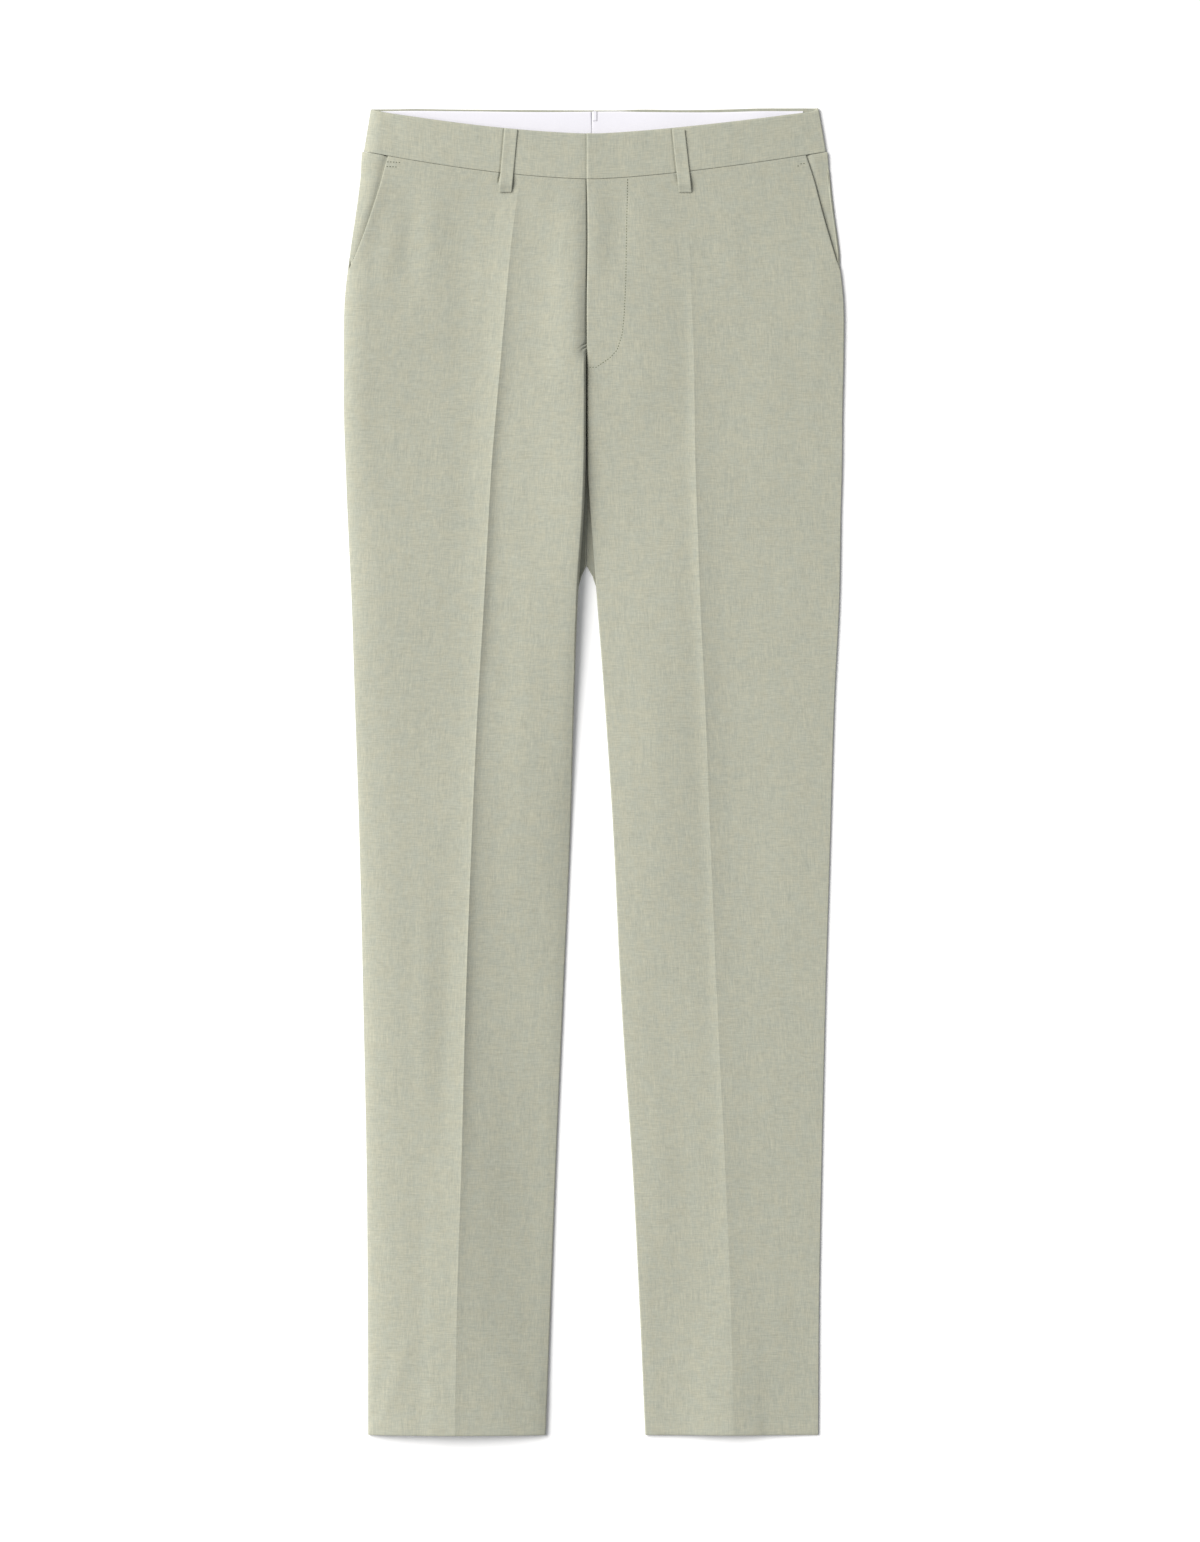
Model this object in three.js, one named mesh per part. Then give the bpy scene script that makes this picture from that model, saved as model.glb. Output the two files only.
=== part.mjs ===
// Suit trousers laid out flat on a surface, front up, closed at the waist, one leg beside the other.
// Millimetres. X runs to the wearer's left, Y up the body to the waist, Z up out of the front.
// The origin is on the surface, in the middle of the garment.
//
// Every cloth piece is a closed shell: an outer grid of points and an inner one, a wall apart, joined by a rim.
// Fronts are laid over the hollow of the legs and roll down at their edges, backs lie flat and roll up to
// meet them, and whatever lies under a front is made from the front's own points, moved in.
import * as THREE from "three";

// ---- Driving dimensions -------------------------------------------------------------------------------------

const CLOTH = 1.2; // wall of a leg panel
const BAND_CLOTH = 1.6; // wall of the waistband, which is cloth, interlining and cloth
const TRIM = 1.0; // wall of a belt loop, a pocket facing, a lining or pocketing
const GAP = 0.3; // between two pieces that are sewn or lie together

const HEM = -577; // lower edge of both legs
const CROTCH = 267.5; // where the four panels meet
const FLY_BOTTOM = 345; // above it the left front laps over the right one
const SEAM_SIDE = 540; // waist seam at the sides
const TOP_ROW = SEAM_SIDE - GAP / 2; // the row that ends each panel
const SEAM_CENTER = 516; // waist seam of the fronts at the centre, lower than at the sides
const BAND_TOP_CENTER = 555.6; // upper edge of the front waistband at the centre
const BAND_TOP_SIDE = 575.5; // and where it folds round to the back
const BAND_TOP_BACK = 577; // upper edge of the back waistband
const WAIST_HALF = 198; // half width at the waist seam, for the curve of seam and edge

const CENTER = -7; // the crotch seam, and the edge of the fly within half a gap
const UNDERLAP = 10.5; // how far the right front reaches under the left one at the fly
const LAP_RUN = 12; // run over which the right side dips to pass under the left
const PANEL_DROP = 2; // depth of that dip in the right front
const BAND_DROP = 3.6; // and in the right waistband, which leaves room for the hook and bar

const SIDE_ROLL = { waist: 28, leg: 25 }; // run of a front's roll down to its side seam
const INNER_ROLL = 14; // run of its roll down to the crotch seam and the inseam
const BACK_ROLL = 5; // run of a back panel's roll up to the same seams
const CREASE_RUN = 13; // how fast the pressed crease falls away to each side
const BACK_LIFT = 1.3; // the back rises over the belt loops that it presses flat
const LIFT_ROWS = { from: 478, to: 498 }; // and does so between these rows

const FACING_DEPTH = CLOTH + GAP; // from the front's outer face down to the pocket facing
const FACING_UNDER = 22; // how far the facing runs in under the front
const FOOT_TUCK = 0.5; // how much deeper it lies at the foot of the mouth, where the front turns down sharply
const MOUTH_FOOT = 436; // lower end of the slanted pocket mouth
const BAG_REACH = 128; // inner edge of the pocket bag, from the side seam
const BAG_FOOT = 300; // lower edge of the pocket bag

const LOOP = { width: 12, foot: 504.5, head: 559, sewn: 4, rise: 6, slack: 4.5 };

// Turns rows of numbers under named columns into a list of records.
const table = (columns, ...rows) => rows.map((row) => Object.fromEntries(columns.map((c, i) => [c, row[i]])));

// A row for each section, from the waist down: its height on the body, then the outer edge, the crease and the
// inner edge of the right leg, the same of the left leg from the inside out, the height above the surface of the
// side seam and of the front's flat top, and how far the crease stands above that. Above the crotch the inner
// edges are the centre front, half a gap to each side of it.
const SECTIONS = table(
  ["y", "rightOuter", "rightCrease", "rightInner", "leftInner", "leftCrease", "leftOuter", "seam", "top", "crease"],
  [577, -194.5, -62, -7.15, -6.85, 73, 196.5, 5, 14, 0],
  [540, -199.5, -64, -7.15, -6.85, 76, 202.5, 5, 14, 0],
  [498, -204.5, -68, -7.15, -6.85, 79.5, 207, 5, 14, 0],
  [455, -211, -73, -7.15, -6.85, 82.5, 211, 4.8, 13.4, 1.6],
  [411, -215.5, -77, -7.15, -6.85, 84.5, 214.5, 4.5, 12.8, 2.2],
  [360, -216.5, -81.5, -7.15, -6.85, 86.5, 216.5, 4.3, 12.3, 2.6],
  [310, -216.5, -86, -7.15, -6.85, 88, 217, 4.2, 12, 3],
  [267.5, -216, -89.5, -7.6, -6.6, 89, 216.5, 4, 11.8, 3],
  [225, -214.5, -92, -10.8, -4.2, 91, 214.5, 4, 11.5, 3],
  [150, -210, -96, -15, 2.5, 94, 212.5, 3.8, 11, 3],
  [60, -207, -101.5, -18, 9.5, 98.5, 208.5, 3.7, 10.5, 3],
  [-50, -203.5, -106.5, -21, 17, 103, 204.5, 3.6, 10, 3],
  [-200, -200, -112, -27, 24, 109, 200, 3.5, 9.6, 3],
  [-350, -196.5, -116, -33.5, 34, 115.5, 196, 3.5, 9.4, 3],
  [-460, -195.5, -119.5, -37.5, 39.5, 118.5, 193.5, 3.5, 9.2, 3],
  [HEM, -196, -121.5, -42, 45.5, 121, 195, 3.5, 9, 3],
);

// The slanted pocket mouth, as how far in from the side seam it cuts each front at that height.
const MOUTHS = table(["y", "right", "left"], [SEAM_SIDE, 19.5, 18.5], [517, 16.3, 14], [477, 10.4, 8],
  [449, 3.4, 2.4], [MOUTH_FOOT, 0, 0]);

// sign turns a distance from the centre into X, bend is how full the waist curve is on that side, and creased is
// the share of the crease that its front shows.
const RIGHT = { name: "right", sign: -1, seamBend: 1.65, topBend: 1.7, creased: 1, underlap: UNDERLAP };
const LEFT = { name: "left", sign: 1, seamBend: 1.4, topBend: 1.35, creased: 1, underlap: 0 };

// ---- Materials ----------------------------------------------------------------------------------------------

function cloth(name, color, roughness, metalness = 0) {
  return Object.assign(new THREE.MeshStandardMaterial({ color, roughness, metalness }), { name });
}

const suiting = cloth("suiting", "#b9baa9", 0.92);
const lining = cloth("waist lining", "#f0efee", 0.8);
const pocketing = cloth("pocketing", "#e9e7df", 0.88);
const tape = cloth("zip tape", "#b5b5a4", 0.85);
const steel = cloth("hook metal", "#b8b8b4", 0.35, 1);

// ---- Curves of the garment ----------------------------------------------------------------------------------

const lerp = THREE.MathUtils.lerp;
const ease = (value, from, to) => THREE.MathUtils.smoothstep(value, Math.min(from, to), Math.max(from, to));

// The value of one column of a table at height y, through the rows by a smooth cubic.
function along(table, column, y) {
  const last = table.length - 2;
  let k = table.findIndex((row, i) => i <= last && y >= table[i + 1].y);
  k = k < 0 ? last : k;
  const slope = (i) => {
    const [a, b] = [table[Math.max(i - 1, 0)], table[Math.min(i + 1, table.length - 1)]];
    return (b[column] - a[column]) / (b.y - a.y);
  };
  const [a, b] = [table[k], table[k + 1]];
  const span = b.y - a.y;
  const t = THREE.MathUtils.clamp((y - a.y) / span, 0, 1);
  const [t2, t3] = [t * t, t * t * t];
  return (
    (2 * t3 - 3 * t2 + 1) * a[column] + (t3 - 2 * t2 + t) * span * slope(k) +
    (3 * t2 - 2 * t3) * b[column] + (t3 - t2) * span * slope(k + 1)
  );
}

const section = (column, y) => along(SECTIONS, column, y);
const outerEdge = (side, y) => section(side.name + "Outer", y);
const creaseLine = (side, y) => section(side.name + "Crease", y);
const sideRoll = (y) => lerp(SIDE_ROLL.leg, SIDE_ROLL.waist, ease(y, CROTCH, SEAM_SIDE));

// A front's base reaches a facing's depth past the side seam along the pocket, so that the facing, which lies
// that much deeper, ends on the seam itself.
const baseEdge = (side, y) =>
  outerEdge(side, y) + side.sign * FACING_DEPTH * ease(y, MOUTH_FOOT, MOUTH_FOOT + 16);

// The right front runs on under the left one along the fly, as the underlap.
function innerEdge(side, y) {
  const seam = section(side.name + "Inner", y);
  return seam + side.underlap * ease(y, FLY_BOTTOM - 5, FLY_BOTTOM + 8);
}

// Where the front's cloth ends to the outside: at the pocket mouth, and below that at the side seam.
const mouthCut = (side, y) => (y > MOUTH_FOOT ? along(MOUTHS, side.name, y) : 0);
const frontLimit = (side, y) => outerEdge(side, y) - side.sign * mouthCut(side, y);

const waistSeam = (side, x) =>
  SEAM_CENTER + (SEAM_SIDE - SEAM_CENTER) * (Math.abs(x) / WAIST_HALF) ** side.seamBend;
const bandTop = (side, x) =>
  BAND_TOP_CENTER + (BAND_TOP_SIDE - BAND_TOP_CENTER) * (Math.abs(x) / WAIST_HALF) ** side.topBend;

// A quarter ellipse, 0 at an edge and 1 from reach inwards.
function roll(distance, reach) {
  const t = THREE.MathUtils.clamp(1 - distance / reach, 0, 1);
  return Math.sqrt(1 - t * t);
}

// The station where the roll has turned by share of a right angle, as a distance from the edge.
const rollStation = (reach, share) => reach * (1 - Math.cos((share * Math.PI) / 2));

// ---- Surface of a front -------------------------------------------------------------------------------------

function frontHeight(side, x, row) {
  const [seam, top] = [section("seam", row), section("top", row)];
  const outer = roll(Math.abs(baseEdge(side, row) - x), sideRoll(row));
  const sunk = 1 - ease(row, CROTCH, FLY_BOTTOM);
  const inner = 1 - sunk * (1 - roll(Math.abs(x - innerEdge(side, row)), INNER_ROLL));
  const fall = Math.exp(-Math.abs(x - creaseLine(side, row)) / CREASE_RUN);
  const ridge = side.creased * section("crease", row) * fall;
  return seam + (top - seam + ridge) * outer * inner - underlapDip(side, x, row);
}

// The right front dips before the fly and stays low under the left one.
function underlapDip(side, x, row) {
  if (side.underlap === 0) return 0;
  const fade = ease(row, FLY_BOTTOM - 32, FLY_BOTTOM - 6);
  return PANEL_DROP * fade * ease(x, CENTER - 1.5 - LAP_RUN, CENTER - 1.5);
}

// A row runs level across the leg and bends down to the waist seam as it nears the top.
function frontPoint(side, x, row) {
  const bend = Math.max(row - LIFT_ROWS.from, 0) / (TOP_ROW - LIFT_ROWS.from);
  return new THREE.Vector3(x, row + bend ** 2 * (waistSeam(side, x) - SEAM_SIDE), frontHeight(side, x, row));
}

const STEP = 0.01; // for tangents

// The outward normal of a front, from two tangents that stay inside its edges.
function frontNormal(side, x, row) {
  const [from, to] = [innerEdge(side, row), baseEdge(side, row)];
  const share = (x - from) / (to - from);
  const inside = (v) => THREE.MathUtils.clamp(v, Math.min(from, to), Math.max(from, to));
  const onRow = (r) => frontPoint(side, lerp(innerEdge(side, r), baseEdge(side, r), share), r);
  const across = frontPoint(side, inside(x + STEP), row).sub(frontPoint(side, inside(x - STEP), row));
  const up = onRow(row + STEP).sub(onRow(row - STEP));
  return across.cross(up).normalize();
}

// A point of a front's surface moved in by depth, or out where depth is negative.
const sunk = (side, x, row, depth) =>
  frontPoint(side, x, row).addScaledVector(frontNormal(side, x, row), -depth);

// ---- Shells -------------------------------------------------------------------------------------------------

// A closed shell between two grids of points with as many rows and columns.
function shell(outer, inner) {
  const [rows, columns] = [outer.length, outer[0].length];
  const points = [...outer.flat(), ...inner.flat()];
  const at = (layer, i, j) => layer * rows * columns + i * columns + j;
  const faces = [];
  const quad = (a, b, c, d) => faces.push(a, b, c, a, c, d);
  for (let i = 0; i < rows - 1; i++) {
    for (let j = 0; j < columns - 1; j++) {
      quad(at(0, i, j), at(0, i, j + 1), at(0, i + 1, j + 1), at(0, i + 1, j));
      quad(at(1, i, j), at(1, i + 1, j), at(1, i + 1, j + 1), at(1, i, j + 1));
    }
  }
  for (let i = 0; i < rows - 1; i++) {
    quad(at(0, i + 1, 0), at(1, i + 1, 0), at(1, i, 0), at(0, i, 0));
    quad(at(0, i, columns - 1), at(1, i, columns - 1), at(1, i + 1, columns - 1), at(0, i + 1, columns - 1));
  }
  for (let j = 0; j < columns - 1; j++) {
    quad(at(0, 0, j), at(1, 0, j), at(1, 0, j + 1), at(0, 0, j + 1));
    quad(at(0, rows - 1, j + 1), at(1, rows - 1, j + 1), at(1, rows - 1, j), at(0, rows - 1, j));
  }
  return facingOut(new THREE.BufferGeometry().setFromPoints(points).setIndex(faces));
}

// Turns every face round where the shell came out inside out.
function facingOut(geometry) {
  const index = geometry.index.array;
  const corner = (k) => new THREE.Vector3().fromBufferAttribute(geometry.attributes.position, index[k]);
  let volume = 0;
  for (let k = 0; k < index.length; k += 3) volume += corner(k).dot(corner(k + 1).cross(corner(k + 2)));
  if (volume < 0) {
    for (let k = 0; k < index.length; k += 3) [index[k + 1], index[k + 2]] = [index[k + 2], index[k + 1]];
  }
  geometry.computeVertexNormals();
  return geometry;
}

// A piece made from a front's points: rows of it, at columnsAt(row), a wall thick from depthAt(row) down.
function onFront(side, rows, columnsAt, depthAt, wall) {
  const grid = (d) => rows.map((row) => columnsAt(row).map((x) => sunk(side, x, row, depthAt(row) + d)));
  return shell(grid(0), grid(wall));
}

// ---- Leg panels ---------------------------------------------------------------------------------------------

const FRONT_ROWS = [
  TOP_ROW, 522, 500, 478, 460, 448, 441.5, 438.5, MOUTH_FOOT, 411, 385, 360, 353, 349, 345, 340, 333,
  322, 308, 290, CROTCH, 255, 225, 190, 150, 100, 50, -50, -150, -250, -350, -460, HEM,
];
const BACK_ROWS = [
  TOP_ROW, 520, 498, 488, 478, 455, 411, 360, 310, 288, 276, CROTCH, 255, 225, 150, 60, -50, -125,
  -200, -275, -350, -460, HEM,
];
const ROLL_SHARES = [0, 0.2, 0.4, 0.6, 0.8, 1];
const INNER_STATIONS = [24, 18, 12, 8, 4, 1, 0]; // distances from a front's inner edge
const CREASE_SHARES = [0.65, 0.3, 0.1, 0, -0.15, -0.35, -0.65]; // of the way outwards and inwards from it

function frontColumns(side, row) {
  const [limit, edge, reach] = [frontLimit(side, row), baseEdge(side, row), sideRoll(row)];
  const cut = Math.acos(1 - Math.abs(edge - limit) / reach) / (Math.PI / 2);
  const roll = ROLL_SHARES.map((share) => edge - side.sign * rollStation(reach, lerp(cut, 1, share)));
  const crease = creaseLine(side, row);
  const inner = INNER_STATIONS.map((d) => innerEdge(side, row) + side.sign * d);
  const [last, first] = [Math.abs(roll.at(-1) - crease), Math.abs(crease - inner[0])];
  const middle = CREASE_SHARES.map((s) => crease + side.sign * (s > 0 ? s * last : s * first));
  return [...roll, ...middle, ...inner];
}

const makeFront = (side) => onFront(side, FRONT_ROWS, (row) => frontColumns(side, row), () => 0, CLOTH);

// A back's inner edge is the seat seam, and the inseam below the crotch.
function backInner(side, row) {
  const seat = CENTER * (1 - ease(row, CROTCH, SEAM_SIDE)) + (side.sign * GAP) / 2;
  return row > CROTCH ? seat : section(side.name + "Inner", row);
}

const backLift = (row) => BACK_LIFT * ease(row, LIFT_ROWS.from, LIFT_ROWS.to);

// The underside of a back: flat on the surface and rolled up to the seams at its edges.
function backPoint(side, x, row) {
  const [low, high] = [backLift(row), section("seam", row) - GAP];
  const outer = 1 - roll(Math.abs(outerEdge(side, row) - x), BACK_ROLL);
  const inner = (1 - roll(Math.abs(x - backInner(side, row)), BACK_ROLL)) * (1 - ease(row, CROTCH, 290));
  return new THREE.Vector3(x, row, low + (high - low) * Math.max(outer, inner));
}

function backNormal(side, x, row) {
  const [from, to] = [backInner(side, row), outerEdge(side, row)];
  const share = (x - from) / (to - from);
  const inside = (v) => THREE.MathUtils.clamp(v, Math.min(from, to), Math.max(from, to));
  const onRow = (r) => backPoint(side, lerp(backInner(side, r), outerEdge(side, r), share), r);
  const across = backPoint(side, inside(x + STEP), row).sub(backPoint(side, inside(x - STEP), row));
  const up = onRow(row + STEP).sub(onRow(row - STEP));
  return up.cross(across).normalize();
}

const BACK_SHARES = [0, 0.25, 0.5, 0.75, 1];

function makeBack(side) {
  const columns = (row) => {
    const [from, to] = [backInner(side, row), outerEdge(side, row)];
    const inner = BACK_SHARES.map((share) => from + side.sign * rollStation(BACK_ROLL, share));
    const outer = BACK_SHARES.map((share) => to - side.sign * rollStation(BACK_ROLL, share)).reverse();
    return [...inner, lerp(from, to, 0.35), lerp(from, to, 0.65), ...outer];
  };
  const grid = (wall) =>
    BACK_ROWS.map((row) =>
      columns(row).map((x) => backPoint(side, x, row).addScaledVector(backNormal(side, x, row), -wall)),
    );
  return shell(grid(0), grid(CLOTH));
}

// ---- Pockets ------------------------------------------------------------------------------------------------

const FACING_ROWS = FRONT_ROWS.filter((row) => row >= MOUTH_FOOT);
const FACING_SHARES = [0, 0.03, 0.12, 0.26, 0.44, 0.7, 1];

const facingInner = (side, row) => frontLimit(side, Math.max(row, MOUTH_FOOT)) - side.sign * FACING_UNDER;

// The cloth that shows in the pocket mouth, from the side seam in under the front.
function makeFacing(side) {
  const columns = (row) => FACING_SHARES.map((s) => lerp(baseEdge(side, row), facingInner(side, row), s));
  const depth = (row) => FACING_DEPTH + FOOT_TUCK * (1 - ease(row, MOUTH_FOOT, MOUTH_FOOT + 20));
  return onFront(side, FACING_ROWS, columns, depth, TRIM);
}

const BAG_ROWS = [SEAM_SIDE - 1, 510, 475, 436, 411, 385, 360, 333, BAG_FOOT];
const FOLD = [ // turn of the bag at its inner edge: run past the edge and depth, on the outer and inner face
  { outRun: 0.8, outDepth: 0.35, inRun: 0.08, inDepth: 1.05 },
  { outRun: 1.15, outDepth: 1.15, inRun: 0.15, inDepth: 1.15 },
  { outRun: 0.8, outDepth: 1.95, inRun: 0.08, inDepth: 1.25 },
];

// The pocket bag hangs from the facing's inner edge and folds back under itself. The crease leaves it flat.
function makeBag(wearerSide) {
  const side = { ...wearerSide, creased: 0 };
  const deep = 2 * TRIM + GAP;
  const line = (row) => {
    const start = facingInner(side, row) - 2 * side.sign * GAP;
    const end = outerEdge(side, row) - side.sign * BAG_REACH;
    const flat = [0, 0.3, 0.65, 1].map((s) => lerp(start, end, s));
    const turn = (run, depth) => FOLD.map((f) => ({ x: end - side.sign * f[run], depth: f[depth] }));
    const layer = (depth) => flat.map((x) => ({ x, depth }));
    return {
      outer: [...layer(0), ...turn("outRun", "outDepth"), ...layer(deep).reverse()],
      inner: [...layer(TRIM), ...turn("inRun", "inDepth"), ...layer(TRIM + GAP).reverse()],
    };
  };
  const grid = (face) =>
    BAG_ROWS.map((row) => line(row)[face].map((p) => sunk(side, p.x, row, FACING_DEPTH + p.depth)));
  return shell(grid("outer"), grid("inner"));
}

// ---- Waistband ----------------------------------------------------------------------------------------------

const BAND_ROWS = [0, 0.5, 1]; // shares of the way from the waist seam up to the upper edge
const RIGHT_LAP_END = 30; // the right band runs on to here under the left one

// The outer face of a band at one row, from the centre front round the side to the centre back.
function bandLine(side, share) {
  const low = lerp(SEAM_SIDE, BAND_TOP_SIDE, share);
  const [edge, reach] = [outerEdge(side, low), sideRoll(SEAM_SIDE)];
  const [seam, top] = [section("seam", low), section("top", low)];
  const onFrontFace = (x, z) => {
    const from = waistSeam(side, x) + GAP / 2;
    return new THREE.Vector3(x, lerp(from, bandTop(side, x), share), z);
  };
  const lapped = side.underlap > 0;
  const dip = (x) => (lapped ? BAND_DROP * ease(x, CENTER - 1.5 - LAP_RUN, CENTER - 1.5) : 0);
  const starts = lapped ? [RIGHT_LAP_END, 12, -5, -8.5, -11.5, -14.5, -17.5, -20.5] : [-6.85, 10, 20];
  const flat = [45, 70, 95, 120, 145].map((d) => side.sign * d);
  const frontPart = [...starts, ...flat].map((x) => onFrontFace(x, top - dip(x)));
  const down = [...ROLL_SHARES].reverse().map((s) => {
    const x = edge - side.sign * rollStation(reach, s);
    return onFrontFace(x, seam + (top - seam) * Math.sin((s * Math.PI) / 2));
  });
  const onBackFace = (x, z) => {
    const rise = BAND_TOP_SIDE + (BAND_TOP_BACK - BAND_TOP_SIDE) * ease(Math.abs(x), Math.abs(edge), 150);
    return new THREE.Vector3(x, lerp(SEAM_SIDE + GAP / 2, rise, share), z);
  };
  const under = BACK_SHARES.slice(1).map((s) => {
    const x = edge - side.sign * rollStation(BACK_ROLL, s);
    return onBackFace(x, BACK_LIFT + (seam - BACK_LIFT) * (1 - Math.sin((s * Math.PI) / 2)));
  });
  const back = [165, 120, 80, 40, GAP / 2].map((d) => onBackFace(side.sign * d, BACK_LIFT));
  return [...frontPart, ...down, ...under, ...back];
}

// Moves a line of points in by a wall, square to its run in X and Z.
function insetLine(line, sign, wall) {
  const across = (a, b) => new THREE.Vector2(b.z - a.z, a.x - b.x).normalize().multiplyScalar(sign);
  return line.map((p, i) => {
    const before = across(line[Math.max(i - 1, 0)], line[Math.max(i, 1)]);
    const after = across(line[Math.min(i, line.length - 2)], line[Math.min(i + 1, line.length - 1)]);
    const mean = before.clone().add(after).normalize();
    const reach = wall / mean.dot(before);
    return new THREE.Vector3(p.x + mean.x * reach, p.y, p.z + mean.y * reach);
  });
}

function makeBand(side) {
  const outer = BAND_ROWS.map((share) => bandLine(side, share));
  return shell(outer, outer.map((line) => insetLine(line, side.sign, BAND_CLOTH)));
}

// The lining on the inside of the back waistband, which shows above the front's lower edge.
const LINING = { foot: 541.5, head: 575.2, reach: 187 };

function makeLining(side) {
  const low = BACK_LIFT + BAND_CLOTH + GAP;
  const xs = [GAP / 2, 45, 90, 140, LINING.reach].map((d) => side.sign * d);
  const head = (x) => LINING.head - 1.5 * ease(Math.abs(x), 150, WAIST_HALF);
  const grid = (z) => [0, 1].map((s) => xs.map((x) => new THREE.Vector3(x, lerp(LINING.foot, head(x), s), z)));
  return shell(grid(low + TRIM), grid(low));
}

// ---- Fly and fastening --------------------------------------------------------------------------------------

const SHIELD = { from: -8, to: 32, foot: 345, depth: PANEL_DROP + CLOTH + GAP };
const ZIP = { from: 6, to: 24, foot: 358, depth: CLOTH + GAP, wall: 1.2 };
const HOOK = { x: 13, y: 538, width: 12, height: 12, depth: BAND_CLOTH + GAP, wall: 0.6 };
const BAR = { x: 13, y: 538, width: 8, height: 9, depth: HOOK.depth + HOOK.wall + GAP, wall: 0.5 };

const flyRows = (foot) => [SEAM_SIDE - 3, 520, 498, 475, 449, 411, 385, foot];

// A straight strip under the fly, level across and as deep as said below the fronts' flat top.
function flyStrip({ from, to, foot, depth }, wall) {
  const point = (x, row, d) => {
    const p = frontPoint(LEFT, Math.max(x, CENTER), row);
    return new THREE.Vector3(x, p.y, section("top", row) - d);
  };
  const grid = (d) => flyRows(foot).map((row) => [from, lerp(from, to, 0.5), to].map((x) => point(x, row, d)));
  return shell(grid(depth), grid(depth + wall));
}

function plate({ x, y, width, height, depth, wall }) {
  const z = section("top", SEAM_SIDE) - depth - wall / 2;
  return new THREE.BoxGeometry(width, height, wall).translate(x, y, z);
}

// ---- Belt loops ---------------------------------------------------------------------------------------------

// A loop over the front of the waistband, sewn flat at both ends and standing off between them.
function makeFrontLoop(headX, footX) {
  const { foot, head, sewn, rise, slack } = LOOP;
  const rows = [foot, foot + sewn];
  for (const share of [0.25, 0.5, 0.75, 1]) rows.push(foot + sewn + rise * share);
  for (const share of [1, 0.75, 0.5, 0.25, 0]) rows.push(head - sewn - rise * share);
  rows.push(head);
  const base = section("top", SEAM_SIDE) + GAP;
  const [risen, falling] = [foot + sewn + rise, head - sewn - rise];
  const point = (y, side, extra) => {
    const lift = slack * ease(y, foot + sewn, risen) * (1 - ease(y, falling, head - sewn));
    const x = lerp(footX, headX, (y - foot) / (head - foot)) + (side * LOOP.width) / 2;
    return new THREE.Vector3(x, y, base + lift + extra);
  };
  const grid = (extra) => rows.map((y) => [-1, 1].map((side) => point(y, side, extra)));
  return shell(grid(TRIM), grid(0));
}

// A loop on the back, pressed flat between the waistband and the surface.
const makeBackLoop = (x) =>
  new THREE.BoxGeometry(LOOP.width, LOOP.head - LOOP.foot, TRIM)
    .translate(x, (LOOP.head + LOOP.foot) / 2 + 6, TRIM / 2);

// ---- The garment --------------------------------------------------------------------------------------------

const trousers = new THREE.Group();
trousers.name = "suit_trousers";

function add(name, geometry, material) {
  const mesh = new THREE.Mesh(geometry, material);
  mesh.name = name;
  trousers.add(mesh);
}

for (const side of [RIGHT, LEFT]) {
  add("front_" + side.name, makeFront(side), suiting);
  add("back_" + side.name, makeBack(side), suiting);
  add("waistband_" + side.name, makeBand(side), suiting);
  add("waist_lining_" + side.name, makeLining(side), lining);
  add("pocket_facing_" + side.name, makeFacing(side), suiting);
  add("pocket_bag_" + side.name, makeBag(side), pocketing);
  add("belt_loop_back_" + side.name, makeBackLoop(side.sign * 96), suiting);
}
add("fly_shield", flyStrip(SHIELD, CLOTH), suiting);
add("fly_zip", flyStrip(ZIP, ZIP.wall), tape);
add("waist_hook", plate(HOOK), steel);
add("waist_bar", plate(BAR), steel);
add("belt_loop_front_right", makeFrontLoop(-73.5, -77.5), suiting);
add("belt_loop_front_left", makeFrontLoop(74.5, 79), suiting);
add("belt_loop_back_center", makeBackLoop(0), suiting);

export default trousers;
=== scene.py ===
"""Suit trousers laid out flat, front up, closed at the waist: the cloth, its folds, seams and trims.

Lengths in the tables are millimetres. X runs to the wearer's left, Y up the body to the waist, and Z up out
of the front, from the surface that the garment lies on.
"""

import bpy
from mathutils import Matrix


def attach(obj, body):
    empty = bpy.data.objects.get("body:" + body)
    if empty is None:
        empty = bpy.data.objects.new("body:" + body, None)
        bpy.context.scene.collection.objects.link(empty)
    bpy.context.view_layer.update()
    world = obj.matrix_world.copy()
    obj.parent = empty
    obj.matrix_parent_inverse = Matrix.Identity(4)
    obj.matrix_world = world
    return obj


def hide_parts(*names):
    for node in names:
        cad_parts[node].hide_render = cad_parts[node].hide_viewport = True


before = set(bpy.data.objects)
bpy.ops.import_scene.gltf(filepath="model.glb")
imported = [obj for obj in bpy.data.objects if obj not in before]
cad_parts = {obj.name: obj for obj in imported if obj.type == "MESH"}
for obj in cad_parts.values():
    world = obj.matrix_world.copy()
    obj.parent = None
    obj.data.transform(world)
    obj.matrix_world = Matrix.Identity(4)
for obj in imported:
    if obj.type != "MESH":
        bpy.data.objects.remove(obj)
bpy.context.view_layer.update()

import math
from typing import NamedTuple

import bpy
import numpy as np
from bpy.props import FloatProperty, FloatVectorProperty, PointerProperty
from bpy.types import Operator, Panel, PropertyGroup
from mathutils import Matrix, Vector

bl_info = {
    "name": "Suit trousers",
    "version": (1, 0, 0),
    "blender": (4, 5, 0),
    "location": "3D View > Sidebar > Trousers",
    "description": "Sews a pair of suit trousers, laid out flat, and sets the stage for them",
    "category": "Object",
}

MM = 0.001
GARMENT_LEVEL = 0.010  # height of the plane for which the view height holds

# ---- Pattern of the garment ------------------------------------------------------------------------------

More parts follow.
